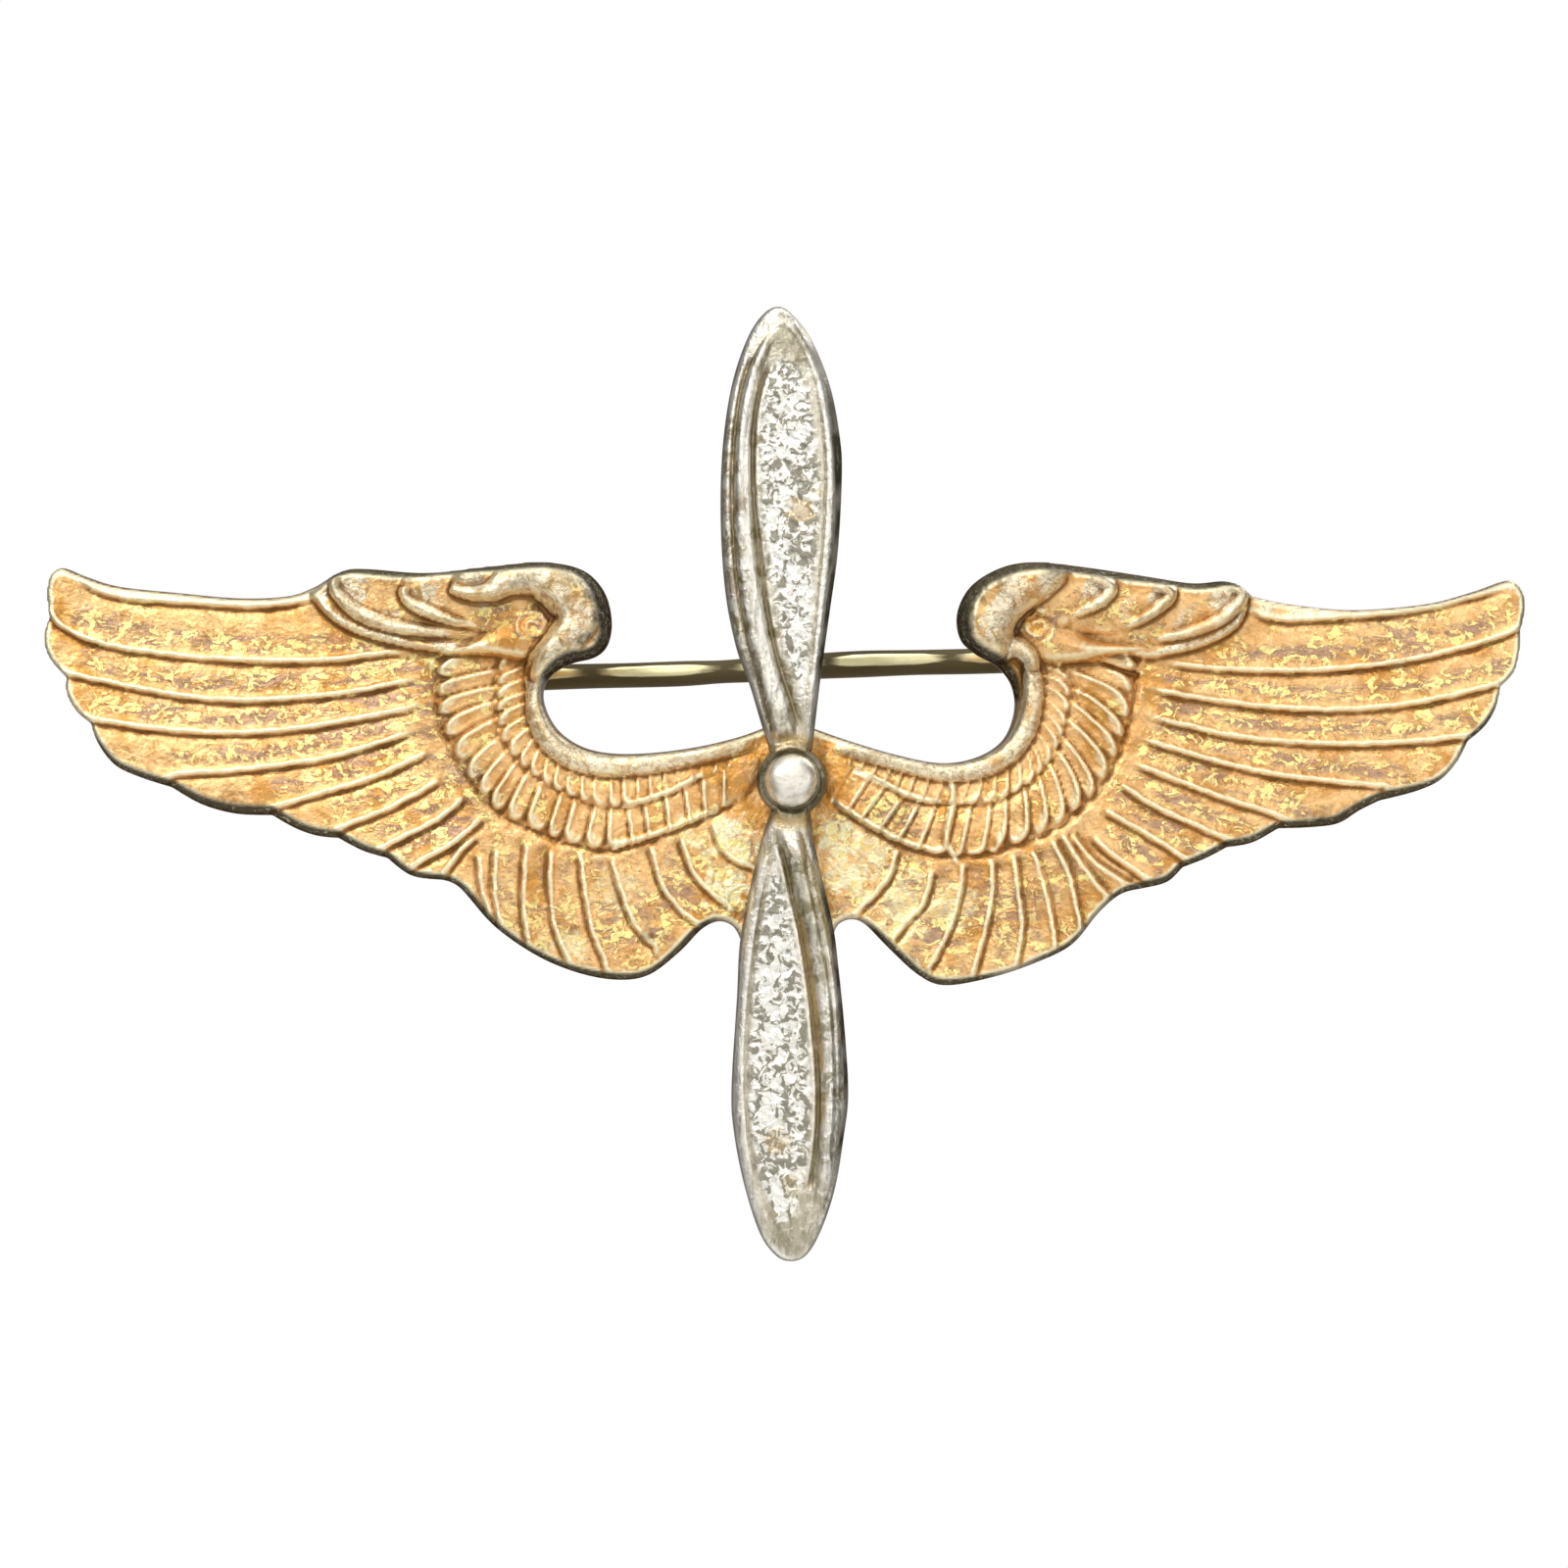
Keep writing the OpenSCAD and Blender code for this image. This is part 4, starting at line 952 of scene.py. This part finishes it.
class Look:
    """A procedural material: each method adds a node and returns its output."""

    def __init__(self, name):
        self.material = bpy.data.materials.new(name)
        self.material.use_nodes = True
        self.tree = self.material.node_tree
        self.principled = self.tree.nodes["Principled BSDF"]
        self.principled.inputs["Metallic"].default_value = 1.0

    def node(self, kind, inputs=None, out=0, **settings):
        node = self.tree.nodes.new("ShaderNode" + kind)
        for key, value in settings.items():
            setattr(node, key, value)
        for key, value in (inputs or {}).items():
            if isinstance(value, bpy.types.NodeSocket):
                self.tree.links.new(value, node.inputs[key])
            else:
                node.inputs[key].default_value = value
        return node.outputs[out]

    def noise(self, scale, detail=4, roughness=0.6, distortion=0.0, stretch=(1, 1, 1)):
        """Noise with about scale blobs in a millimetre."""
        place = self.node("Mapping", {0: self.node("TexCoord", out="Object"),
                                      "Scale": [v / MM for v in stretch]})
        return self.node("TexNoise", {"Vector": place, "Scale": scale, "Detail": detail,
                                      "Roughness": roughness, "Distortion": distortion})

    def field(self, name):
        return self.node("Attribute", attribute_name=name, out="Fac")

    def mask(self, value, low, high):
        """0 below low and 1 above high, smoothly."""
        return self.node("MapRange", {"Value": value, "From Min": low, "From Max": high},
                         interpolation_type="SMOOTHSTEP")

    def band(self, value, centre, half):
        """1 where a value is close to centre, for thin winding outlines."""
        away = self.math("ABSOLUTE", self.math("SUBTRACT", value, centre), 0)
        return self.node("MapRange", {"Value": away, "From Min": half, "From Max": 0.3 * half},
                         interpolation_type="SMOOTHSTEP")

    def math(self, operation, a, b):
        return self.node("Math", {0: a, 1: b}, operation=operation)

    def times(self, a, b):
        return self.math("MULTIPLY", a, b)

    def ramp(self, value, *stops):
        """A colour ramp from (position, colour) stops."""
        out = self.node("ValToRGB", {0: value})
        elements = out.node.color_ramp.elements
        elements.remove(elements[-1])
        elements[0].position, elements[0].color = stops[0][0], (*stops[0][1], 1)
        for position, colour in stops[1:]:
            elements.new(position).color = (*colour, 1)
        return out

    def mix(self, factor, a, b):
        """Colours a and b, each a socket or a colour, mixed by a factor."""
        a, b = (v if isinstance(v, bpy.types.NodeSocket) else (*v, 1) for v in (a, b))
        return self.node("Mix", {0: factor, 6: a, 7: b}, out=2, data_type="RGBA")

    def coats(self, colour, *coats):
        """A colour with coats laid over it in turn. Each coat is a colour, its strength, and
        the masks that it lies within."""
        for coat, cover, *masks in coats:
            for mask in masks:
                cover = self.times(mask, cover)
            colour = self.mix(cover, colour, coat)
        return colour

    def dull_where(self, painted_dark):
        """Painted shade has no metal and no shine, so that it stays dark."""
        clean = self.math("SUBTRACT", 1.0, painted_dark)
        self.tree.links.new(clean, self.principled.inputs["Metallic"])
        self.tree.links.new(self.times(clean, 0.5), self.principled.inputs["Specular IOR Level"])

    def finish(self, colour, rough_from, rough, layers):
        """Links the colour, the roughness range, and bumps of (height, strength, mm)."""
        roughness = self.node("MapRange", {"Value": rough_from, "To Min": rough[0],
                                           "To Max": rough[1]})
        normal = None
        for height, strength, distance in layers:
            inputs = {"Height": height, "Strength": strength, "Distance": distance * MM}
            if normal:
                inputs["Normal"] = normal
            normal = self.node("Bump", inputs)
        for key, value in (("Base Color", colour), ("Roughness", roughness), ("Normal", normal)):
            self.tree.links.new(value, self.principled.inputs[key])
        return self.material


TAN = (0.76, 0.44, 0.175)
PEACH = (0.9, 0.585, 0.27)
AMBER = (0.62, 0.31, 0.08)
ORANGE = (0.72, 0.33, 0.06)
YELLOW = (1.0, 0.85, 0.34)
PALE = (0.98, 0.87, 0.58)
VIOLET_GREY = (0.36, 0.24, 0.19)
BROWN = (0.2, 0.09, 0.022)
RUST = (0.3, 0.14, 0.035)
# This colour and the next one are painted shade: black on the slopes at the outline, dark brown on the
# shoulders' edges, the wire and the rivet.
BLACK = (0.02, 0.016, 0.008)
PAINTED_SHADE_COLOUR = (0.055, 0.04, 0.017)
FLAKED = (1.0, 0.94, 0.64)
WORN_LOW = (0.36, 0.24, 0.10)
WORN_MID = (0.76, 0.6, 0.36)
WORN_HIGH = (0.97, 0.89, 0.68)


def gilt_material():
    """Struck silver with a gold wash, worn through on the high places and stained between."""
    look = Look("worn_gilt")
    ridge, crust, silver = (look.field(key) for key in ("ridge", "crust", "silver"))
    blotch = look.noise(0.9, 5, 0.6, 0.5)
    mottle = look.noise(2.6, 6, 0.68, 0.9)
    speck = look.noise(4.6, 4, 0.62, 0.9, (0.85, 1, 1.25))
    grit = look.noise(11, 3, 0.7, 0.5)
    streak = look.noise(1.7, 6, 0.72, 1.2, (0.45, 1, 1.9))
    scaly = look.math("ADD", crust, look.mask(look.noise(1.3, 3, 0.5, 0.4), 0.5, 0.62))
    bare = look.coats(
        look.ramp(mottle, (0.36, WORN_LOW), (0.43, WORN_MID), (0.48, WORN_HIGH),
                  (0.56, WORN_HIGH), (0.62, WORN_MID), (0.7, WORN_LOW)),
        (WORN_LOW, 0.75, look.band(speck, 0.48, 0.04)),
        (VIOLET_GREY, 0.3, look.mask(streak, 0.53, 0.6)))
    flaked = look.coats(
        look.mix(look.mask(speck, 0.42, 0.5), YELLOW, FLAKED),
        (WORN_LOW, 0.5, look.band(speck, 0.55, 0.016)),
        (WORN_LOW, 0.5, look.mask(grit, 0.62, 0.66)))
    high = look.math("MAXIMUM", look.mask(ridge, 0.2, 1.0),
                     look.mask(look.field("worn"), 0.15, 0.8))
    # Painted shade: dark brown along the shoulders' edges and under them, and black on the slopes at the
    # outline.
    painted_shade = look.times(look.field("painted_shade"), look.mask(mottle, 0.35, 0.62))
    black = look.times(look.field("dark"), look.mask(grit, 0.15, 0.45))
    colour = look.coats(
        look.ramp(blotch, (0.36, AMBER), (0.45, TAN), (0.56, PEACH), (0.68, TAN)),
        (AMBER, 0.55, look.mask(mottle, 0.52, 0.6)),
        (VIOLET_GREY, 0.75, look.mask(streak, 0.47, 0.53), look.mask(crust, 0.15, 0.7)),
        (YELLOW, 0.9, look.mask(speck, 0.52, 0.57), look.mask(scaly, 0.25, 0.75)),
        (RUST, 0.75, look.band(speck, 0.5, 0.022), look.mask(scaly, 0.2, 0.8)),
        (RUST, 0.6, look.mask(grit, 0.57, 0.63), look.mask(crust, -0.6, 0.9)),
        (ORANGE, 0.9, look.mask(mottle, 0.3, 0.6), look.field("amber")),
        (bare, 0.92, look.mask(silver, 0.2, 0.65), look.mask(blotch, 0.28, 0.52)),
        (PALE, 0.88, high, look.mask(speck, 0.2, 0.42), look.mask(silver, 1.5, 0.3)),
        (flaked, 0.9, look.field("flake"), look.mask(mottle, 0.38, 0.5)),
        (BROWN, 0.82, look.mask(look.times(ridge, -1.0), 0.25, 1.5)),
        (PAINTED_SHADE_COLOUR, 0.85, painted_shade),
        (BLACK, 0.93, black))
    # The painted shade is made dull, without metal or shine, so that it stays dark.
    look.dull_where(look.math("MAXIMUM", black, look.times(painted_shade, 0.6)))
    return look.finish(colour, speck, (0.34, 0.55), [(mottle, 0.6, 0.06), (speck, 0.7, 0.04),
                                                     (grit, 0.5, 0.02)])


BRIGHT = (0.96, 0.945, 0.87)
DULL_LIGHT = (0.72, 0.67, 0.55)
DULL = (0.46, 0.42, 0.33)
DULL_DARK = (0.22, 0.20, 0.14)
OLIVE_GREY = (0.24, 0.22, 0.16)
OLIVE = (0.25, 0.21, 0.1)
ROSE = (0.62, 0.5, 0.42)
OCHRE = (0.55, 0.38, 0.15)
UMBER = (0.2, 0.15, 0.075)


def silver_material():
    """Silver dulled all over but for the ridges and the corroded panels."""
    look = Look("tarnished_silver")
    ridge, olive = look.field("ridge"), look.field("olive")
    cloud = look.noise(0.9, 6, 0.65, 0.6, (1.6, 1, 0.7))
    mottle = look.noise(5.0, 3, 0.6, 1.0)
    patch = look.noise(1.5, 3, 0.6, 0.5)
    brushed = look.noise(5, 5, 0.75, 0.3, (2.2, 1, 0.35))
    fine = look.noise(12, 4, 0.7)
    pits = look.mask(look.math("ADD", mottle, look.times(patch, 0.35)), 0.675, 0.715)
    pitted = look.coats(BRIGHT, (OLIVE_GREY, 0.9, pits), (DULL, 0.5, look.band(mottle, 0.47, 0.02)))
    high = look.math("MAXIMUM", look.mask(ridge, 0.1, 0.8), look.times(look.field("polish"), 0.7))
    clean = look.mask(look.field("dull"), 0.9, 0.1)
    # Painted shade: black on the slopes at the blades' outline and round the rivet's head.
    black = look.times(look.field("dark"), look.mask(brushed, 0.25, 0.45))
    colour = look.coats(
        look.ramp(cloud, (0.34, DULL_DARK), (0.43, DULL), (0.52, DULL_LIGHT), (0.64, DULL)),
        (DULL_LIGHT, 0.7, look.mask(brushed, 0.5, 0.6)),
        (DULL_DARK, 0.5, look.mask(brushed, 0.45, 0.38)),
        (pitted, 1.0, look.field("panel"), look.mask(fine, 0.15, 0.4)),
        (BRIGHT, 0.85, high, look.mask(brushed, 0.3, 0.5), clean),
        (OCHRE, 0.8, look.mask(patch, 0.3, 0.5), look.field("amber")),
        (UMBER, 0.75, look.mask(look.times(ridge, -1.0), 0.25, 1.3)),
        (OLIVE, 0.85, olive, look.mask(mottle, 0.38, 0.54)),
        (ROSE, 0.6, olive, look.mask(patch, 0.5, 0.66)),
        (BLACK, 0.93, black))
    look.dull_where(black)
    return look.finish(colour, fine, (0.32, 0.52), [(mottle, 0.6, 0.05), (brushed, 0.4, 0.03),
                                                    (fine, 0.4, 0.02)])


def plain_metal(name, light, dark, rough, drawn=(1, 1, 1), shaded=False):
    """A solid metal with clouded tarnish and fine grain, drawn out along one direction.
    When asked, shade is painted dark where its mesh's attribute of painted shade says so."""
    look = Look(name)
    cloud = look.noise(1.4, 6, 0.65, 0.6, drawn)
    fine = look.noise(7, 4, 0.7, 0.0, drawn)
    colour = look.coats(look.ramp(cloud, (0.34, dark), (0.5, light), (0.68, dark)),
                        (dark, 0.4, look.mask(fine, 0.55, 0.7)))
    if shaded:
        # Painted shade from the mesh's attribute, broken up by the grain.
        painted_shade = look.mask(look.math("ADD", look.field("painted_shade"), look.times(fine, 0.5)), 0.48, 0.8)
        colour = look.coats(colour, (PAINTED_SHADE_COLOUR, 0.94, painted_shade))
        look.dull_where(look.times(painted_shade, 0.95))
    return look.finish(colour, cloud, rough, [(fine, 0.3, 0.02)])


# ---------------------------------------------------------------- pieces

def skin(name, rings, painted_shade):
    """A closed round solid through rings of points in mm. A ring of one point is an end.
    The last argument, the painted shade, has one value for each point."""
    mesh = bpy.data.meshes.new(name)
    bm = bmesh.new()
    made = [[bm.verts.new(Vector(p) * MM) for p in ring] for ring in rings]
    for a, b in zip(made, made[1:]):
        segments = max(len(a), len(b))
        for k in range(segments):
            n = (k + 1) % segments
            corners = (a[k % len(a)], b[k % len(b)], b[n % len(b)], a[n % len(a)])
            bm.faces.new(list(dict.fromkeys(corners)))
    bmesh.ops.recalc_face_normals(bm, faces=bm.faces)
    for face in bm.faces:
        face.smooth = True
    bm.to_mesh(mesh)
    bm.free()
    mesh.attributes.new("painted_shade", "FLOAT", "POINT").data.foreach_set("value", painted_shade)
    obj = bpy.data.objects.new(name, mesh)
    bpy.context.scene.collection.objects.link(obj)
    return obj


# The rivet's profile as [radius, y]: its dome from its front, and its tail from the back's plane.
DOME = [[0, 0.02], [0.1, 0.02], [0.2, 0.025], [0.29, 0.04], [0.36, 0.07], [0.41, 0.11],
        [0.45, 0.16], [0.49, 0.23], [0.52, 0.32], [0.535, 0.44]]
TAIL = [[0.3, -0.3], [0.56, -0.04], [0.58, 0.01], [0.5, 0.05], [0.3, 0.07], [0, 0.075]]
HEAD_HEIGHT = 0.8
FACETS = 0.01


def rivet():
    """The hub's rivet: a worn dome in front, and a tail spread into the back. It was
    hammered by hand, so the dome has a few soft facets. Shade is painted dark round its flank, most on one
    side."""
    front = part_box("hub_rivet")[0].y / MM
    seat = front + HEAD_HEIGHT
    profile = [[r, front + y] for r, y in DOME] + [[0.53, seat], [0.3, seat + 0.1]] + TAIL
    rings, painted_shade = [], []
    for radius, y in profile:
        turn = np.linspace(0, 2 * math.pi, 64, endpoint=False) if radius else [0]
        facet = FACETS * (0.1 < radius < 0.5 and y < seat - 0.3)
        ring = []
        for a in turn:
            r = radius + facet * (math.sin(5 * a + 0.6) + math.sin(3 * a))
            ring.append((r * math.cos(a), y, r * math.sin(a)))
            # Painted shade: dark on the dome's flank, darkest towards one side.
            flank = float(ease(radius, 0.4, 0.56)) if y < seat else 0.0
            painted_shade.append(0.6 * flank * (0.62 + 0.38 * math.sin(a + 2.4)))
        rings.append(ring)
    return skin("rivet", rings, painted_shade)


WIRE_PLAY = 0.008  # the drawn wire is thinner than its gauge by this
TAPER, STOUT = 2.9, 0.7  # how long the wire narrows to its point and is stouter at its root
POINT_RADIUS = 0.015
# Where shadow is painted on the wire, and how far it spreads: beside the wings and the propeller.
SHADOWED_SPANS = [(-4.2, 0.55), (-1.4, 0.6), (0.75, 0.3), (3.3, 0.45)]


def wire_radius(x, from_root, to_tip, gauge):
    """The wire's radius, a little uneven, stouter at its root and tapered to its point."""
    swell = 0.018 * math.exp(-((x - 1.6) / 0.8) ** 2) - 0.02 * math.exp(-((x + 1.5) / 0.5) ** 2)
    r = gauge - WIRE_PLAY + swell + 0.004 * math.sin(2.1 * x) + 0.045 * max(0, 1 - from_root / STOUT)
    r *= min(1, max(0, to_tip / TAPER)) ** 0.8
    return max(r, POINT_RADIUS)


def bent_wire():
    """The stem's wire. It was drawn and filed by hand, so its line and thickness waver.
    Shade is painted dark along its top and underside, and shadow beside the wings and the propeller."""
    mount = next(m for m in frame["record"]["mounts"] if m["name"] == "stem")
    middle, axis = Vector(mount["pos_m"]) / MM, Vector(mount["axis"])
    low, high = (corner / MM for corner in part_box("stem_wire"))
    across, up = Vector((0, -1, 0)), axis.cross(Vector((0, -1, 0)))
    if up.z < 0:
        up.negate()
    root, tip = (low.x + 0.02 - middle.x) / axis.x, (high.x - 0.02 - middle.x) / axis.x
    rings, painted_shade = [], []
    for s in np.concatenate([np.linspace(root, tip - 0.1, 150), tip - np.array([0.06, 0.03, 0.01])]):
        x = middle.x + s * axis.x
        r = wire_radius(x, s - root, tip - s, mount["dims"]["r_mm"])
        sag = 0.025 * math.sin(0.85 * x + 0.4)
        sag *= min(1, max(0, (tip - s - 1) / 3)) * min(1, (s - root) / 3)
        centre = middle + axis * s + up * sag
        ring = []
        # Painted shade: dark along the top and underside, leaving a bright band across the front, and
        # painted shadow beside the wings and the propeller.
        near = max(math.exp(-((x - c) / w) ** 2) for c, w in SHADOWED_SPANS)
        for a in np.linspace(0, 2 * math.pi, 32, endpoint=False):
            ring.append(centre + (across * math.cos(a) + up * math.sin(a)) * r)
            side = float(ease(1 - abs(math.cos(a - 0.3)), 0.03, 0.22))
            painted_shade.append(min(1.0, side + 0.55 * near))
        rings.append(ring)
    ends = [middle + axis * (root - 0.01), middle + axis * tip]
    rings = [[ends[0]]] + rings + [[ends[1]]]
    return skin("stem_of_wire", rings, [0.5] + painted_shade + [0.3])


def add_piece(obj, material, body, node):
    obj.data.materials.append(material)
    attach(obj, body)
    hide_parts(node)


BRASSY, TARNISH = (0.86, 0.80, 0.52), (0.36, 0.32, 0.16)
DRAWN, DRAWN_DARK = (0.8, 0.73, 0.44), (0.52, 0.46, 0.24)
DOMED, DOMED_DARK = (0.9, 0.87, 0.78), (0.5, 0.45, 0.36)
SPOOL, STRIP = (0.78, 0.72, 0.55), (0.6, 0.55, 0.36)
SOLDER, SOLDER_DARK = (0.5, 0.5, 0.48), (0.2, 0.2, 0.18)


def add_pieces():
    """The four pieces that replace CAD nodes."""
    seat = -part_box("propeller")[1].y / MM
    dome = plain_metal("rivet_silver", DOMED, DOMED_DARK, (0.42, 0.62), shaded=True)
    wire = plain_metal("wire", DRAWN, DRAWN_DARK, (0.26, 0.44), (0.2, 1, 1), shaded=True)
    add_piece(carve_wings().build("struck_wings", 0.0), gilt_material(), "brooch", "wings")
    add_piece(carve_propeller(seat).build("silver_propeller", -seat), silver_material(),
              "brooch", "propeller")
    add_piece(rivet(), dome, "brooch", "hub_rivet")
    add_piece(bent_wire(), wire, "pin_stem", "stem_wire")


def dress_fittings():
    """Metals for the nine CAD nodes that are kept: the hinge and the catch."""
    knuckle = plain_metal("knuckle", BRASSY, TARNISH, (0.28, 0.45))
    rotor = plain_metal("rotor", SPOOL, TARNISH, (0.25, 0.42))
    strip = plain_metal("folded_strip", STRIP, TARNISH, (0.3, 0.5))
    solder = plain_metal("solder", SOLDER, SOLDER_DARK, (0.4, 0.6))
    looks = {
        "stem_knuckle": knuckle, "hinge_rivet": knuckle, "catch_rotor": rotor,
        "hinge_bracket": strip, "hinge_patch": strip, "catch_patch": strip, "catch_housing": strip,
        "hinge_solder": solder, "catch_solder": solder,
    }
    for name, material in looks.items():
        data = nodes[name].data
        data.materials.clear()
        data.materials.append(material)


# ---------------------------------------------------------------- studio

def camera():
    """Straight on, with the whole pin in a frame 32 mm wide."""
    view_width, centre = 32.0, Vector((-0.16, -0.9, -0.06))
    lens, sensor = 120.0, 36.0
    distance = view_width * lens / sensor
    data = bpy.data.cameras.new("camera")
    data.lens, data.sensor_width = lens, sensor
    data.clip_start, data.clip_end = 0.001, 5
    obj = bpy.data.objects.new("camera", data)
    obj.location = (centre + Vector((0, -distance, 0))) * MM
    obj.rotation_euler = (math.radians(90), 0, 0)
    bpy.context.scene.collection.objects.link(obj)
    bpy.context.scene.camera = obj


# Each light's name, place and size in mm, and power in watts.
LIGHTS = [
    ("key", (-40, -70, 60), 30, 0.05), ("fill", (60, -60, 10), 40, 0.015),
    ("overhead", (0, 5, 90), 80, 0.05), ("behind", (50, 80, 60), 40, 0.04),
]


def area_light(name, place, size, power):
    """A square light aimed at the pin's middle."""
    data = bpy.data.lights.new(name, "AREA")
    data.shape, data.size, data.energy = "SQUARE", size * MM, power
    obj = bpy.data.objects.new(name, data)
    obj.location = Vector(place) * MM
    obj.rotation_euler = (-obj.location).to_track_quat("-Z", "Y").to_euler()
    bpy.context.scene.collection.objects.link(obj)


# The surround's brightness, from behind the pin (0) round to the viewer's side (1).
SURROUND = [(0.02, 0.75, 0.75, 0.76), (0.18, 0.3, 0.3, 0.3), (0.4, 0.06, 0.06, 0.06),
            (0.58, 0.12, 0.12, 0.12), (0.81, 0.53, 0.53, 0.53), (1.0, 0.95, 0.94, 0.92)]
BRIGHT_SIDE = (-0.1, -0.9, 0.35)


def surround():
    """A surround that is bright in front and dark at the sides, and white to the camera."""
    scene = bpy.context.scene
    scene.view_settings.view_transform = "Standard"
    world = bpy.data.worlds.new("studio")
    scene.world = world
    world.use_nodes = True
    tree = world.node_tree
    tree.nodes.clear()
    link = tree.links.new
    place, dot, half, fall, lit, white, rays, pick, out = (
        tree.nodes.new("ShaderNode" + kind)
        for kind in ("TexCoord", "VectorMath", "Math", "ValToRGB", "Background", "Background",
                     "LightPath", "MixShader", "OutputWorld"))
    dot.operation = "DOT_PRODUCT"
    dot.inputs[1].default_value = Vector(BRIGHT_SIDE).normalized()
    half.operation = "MULTIPLY_ADD"
    half.inputs[1].default_value = half.inputs[2].default_value = 0.5
    stops = fall.color_ramp.elements
    stops[0].position, stops[1].position = SURROUND[0][0], SURROUND[-1][0]
    stops[0].color, stops[1].color = (*SURROUND[0][1:], 1), (*SURROUND[-1][1:], 1)
    for position, *colour in SURROUND[1:-1]:
        stops.new(position).color = (*colour, 1)
    white.inputs["Color"].default_value = (1, 1, 1, 1)
    link(place.outputs["Generated"], dot.inputs[0])
    link(dot.outputs["Value"], half.inputs[0])
    link(half.outputs[0], fall.inputs[0])
    link(fall.outputs[0], lit.inputs["Color"])
    link(rays.outputs["Is Camera Ray"], pick.inputs[0])
    link(lit.outputs[0], pick.inputs[1])
    link(white.outputs[0], pick.inputs[2])
    link(pick.outputs[0], out.inputs["Surface"])


def pale_floor():
    """A round of pale paper below the pin, which hangs upright over it."""
    bpy.ops.mesh.primitive_circle_add(vertices=96, radius=40 * MM, fill_type="NGON",
                                      location=(0, 0, -24 * MM))
    floor = bpy.context.object
    floor.name = "floor"
    look = Look("pale_floor")
    look.principled.inputs["Metallic"].default_value = 0.0
    paper = look.noise(0.3)
    colour = look.ramp(paper, (0.3, (0.84, 0.84, 0.83)), (0.7, (0.88, 0.88, 0.87)))
    floor.data.materials.append(look.finish(colour, paper, (0.75, 0.85), [(paper, 0.1, 0.02)]))


add_pieces()
dress_fittings()
camera()
surround()
for name, place, size, power in LIGHTS:
    area_light(name, place, size, power)
pale_floor()
